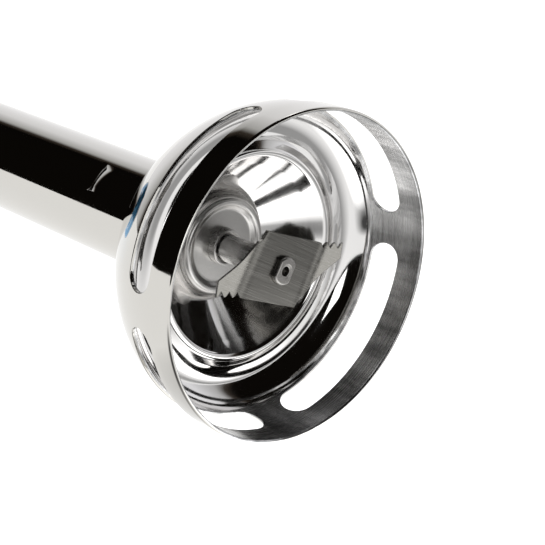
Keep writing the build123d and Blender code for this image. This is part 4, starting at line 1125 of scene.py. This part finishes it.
studio_walls(PAPER_REACH, 3.0)


# painted shade: darker patches in the glow of the floor sheet seen in reflections
PAINTED_SHADE_PATCHES = (((0.213, -0.060), 0.015, 0.060, 0.05, 1.05),     # x and y, inner and outer radius, two strengths
           ((0.300, 0.110), 0.065, 0.110, 0.36, 1.05))
# painted pool of light: a bright spot in the floor sheet's glow under the bell's rim
PAINTED_LIGHT_SPOT = ((0.206, 0.000), 0.012, 0.034, 1.5, 0.0)


def paint_floor_shade_and_light():
    """White, with painted shade, a dark and a grey patch in front of the bell, and a painted pool of light, a
    bright one under its rim.
    """
    mat = painted_shading_sheet.data.materials[0]
    coord = add_node(mat, "ShaderNodeTexCoord")
    shades = []
    for (x, y), inner, outer, near, far in (*PAINTED_SHADE_PATCHES, PAINTED_LIGHT_SPOT):
        centred = add_node(mat, "ShaderNodeMapping", Location=(-x, -y, 0))
        reach = add_node(mat, "ShaderNodeVectorMath", operation="LENGTH")
        wire(mat, coord, "Object", centred, "Vector")
        wire(mat, centred, "Vector", reach, "Vector")
        shades.append(spread(mat, reach, near, far, "Value", inner, outer))
    darker = add_node(mat, "ShaderNodeMath", operation="MINIMUM")
    wire(mat, shades[0], "Result", darker, 0)
    wire(mat, shades[1], "Result", darker, 1)
    both = add_node(mat, "ShaderNodeMath", operation="ADD")
    wire(mat, darker, "Value", both, 0)
    wire(mat, shades[2], "Result", both, 1)
    to_shader(mat, both, "Value", "Emission Strength")


paint_floor_shade_and_light()


def studio_world():
    """A dark room with a white background behind the object, low down on its handle's side."""
    world = bpy.data.worlds.new("studio")
    bpy.context.scene.world = world
    world.use_nodes = True
    tree = world.node_tree
    coord = tree.nodes.new("ShaderNodeTexCoord")
    toward = tree.nodes.new("ShaderNodeVectorMath")
    toward.operation = "DOT_PRODUCT"
    toward.inputs[1].default_value = (-0.45, 0.9, -0.44)
    tree.links.new(coord.outputs["Generated"], toward.inputs[0])
    ramp = tree.nodes.new("ShaderNodeValToRGB")
    room = ramp.color_ramp
    room.elements[0].position = 0.0
    room.elements[0].color = (0.0030, 0.0024, 0.0018, 1)
    room.elements[1].position = 1.0
    room.elements[1].color = (0.85, 0.85, 0.87, 1)
    for position, shade in ((0.20, (0.0025, 0.0020, 0.0016, 1)), (0.27, (0.035, 0.028, 0.022, 1)),
                            (0.34, (0.40, 0.40, 0.40, 1)), (0.55, (0.70, 0.70, 0.72, 1))):
        room.elements.new(position).color = shade
    tree.links.new(toward.outputs["Value"], ramp.inputs["Fac"])
    tree.links.new(ramp.outputs["Color"], tree.nodes["Background"].inputs["Color"])
    tree.nodes["Background"].inputs["Strength"].default_value = 1.3


studio_world()
card("right_side", Vector((0.95, -0.26, 0.16)) * 0.8, (0.30, 0.22), 0.5)
card("overhead", Vector((-0.25, 0.55, 0.85)) * 0.9, (0.30, 0.18), 0.5)

bpy.context.scene.view_settings.view_transform = "Standard"
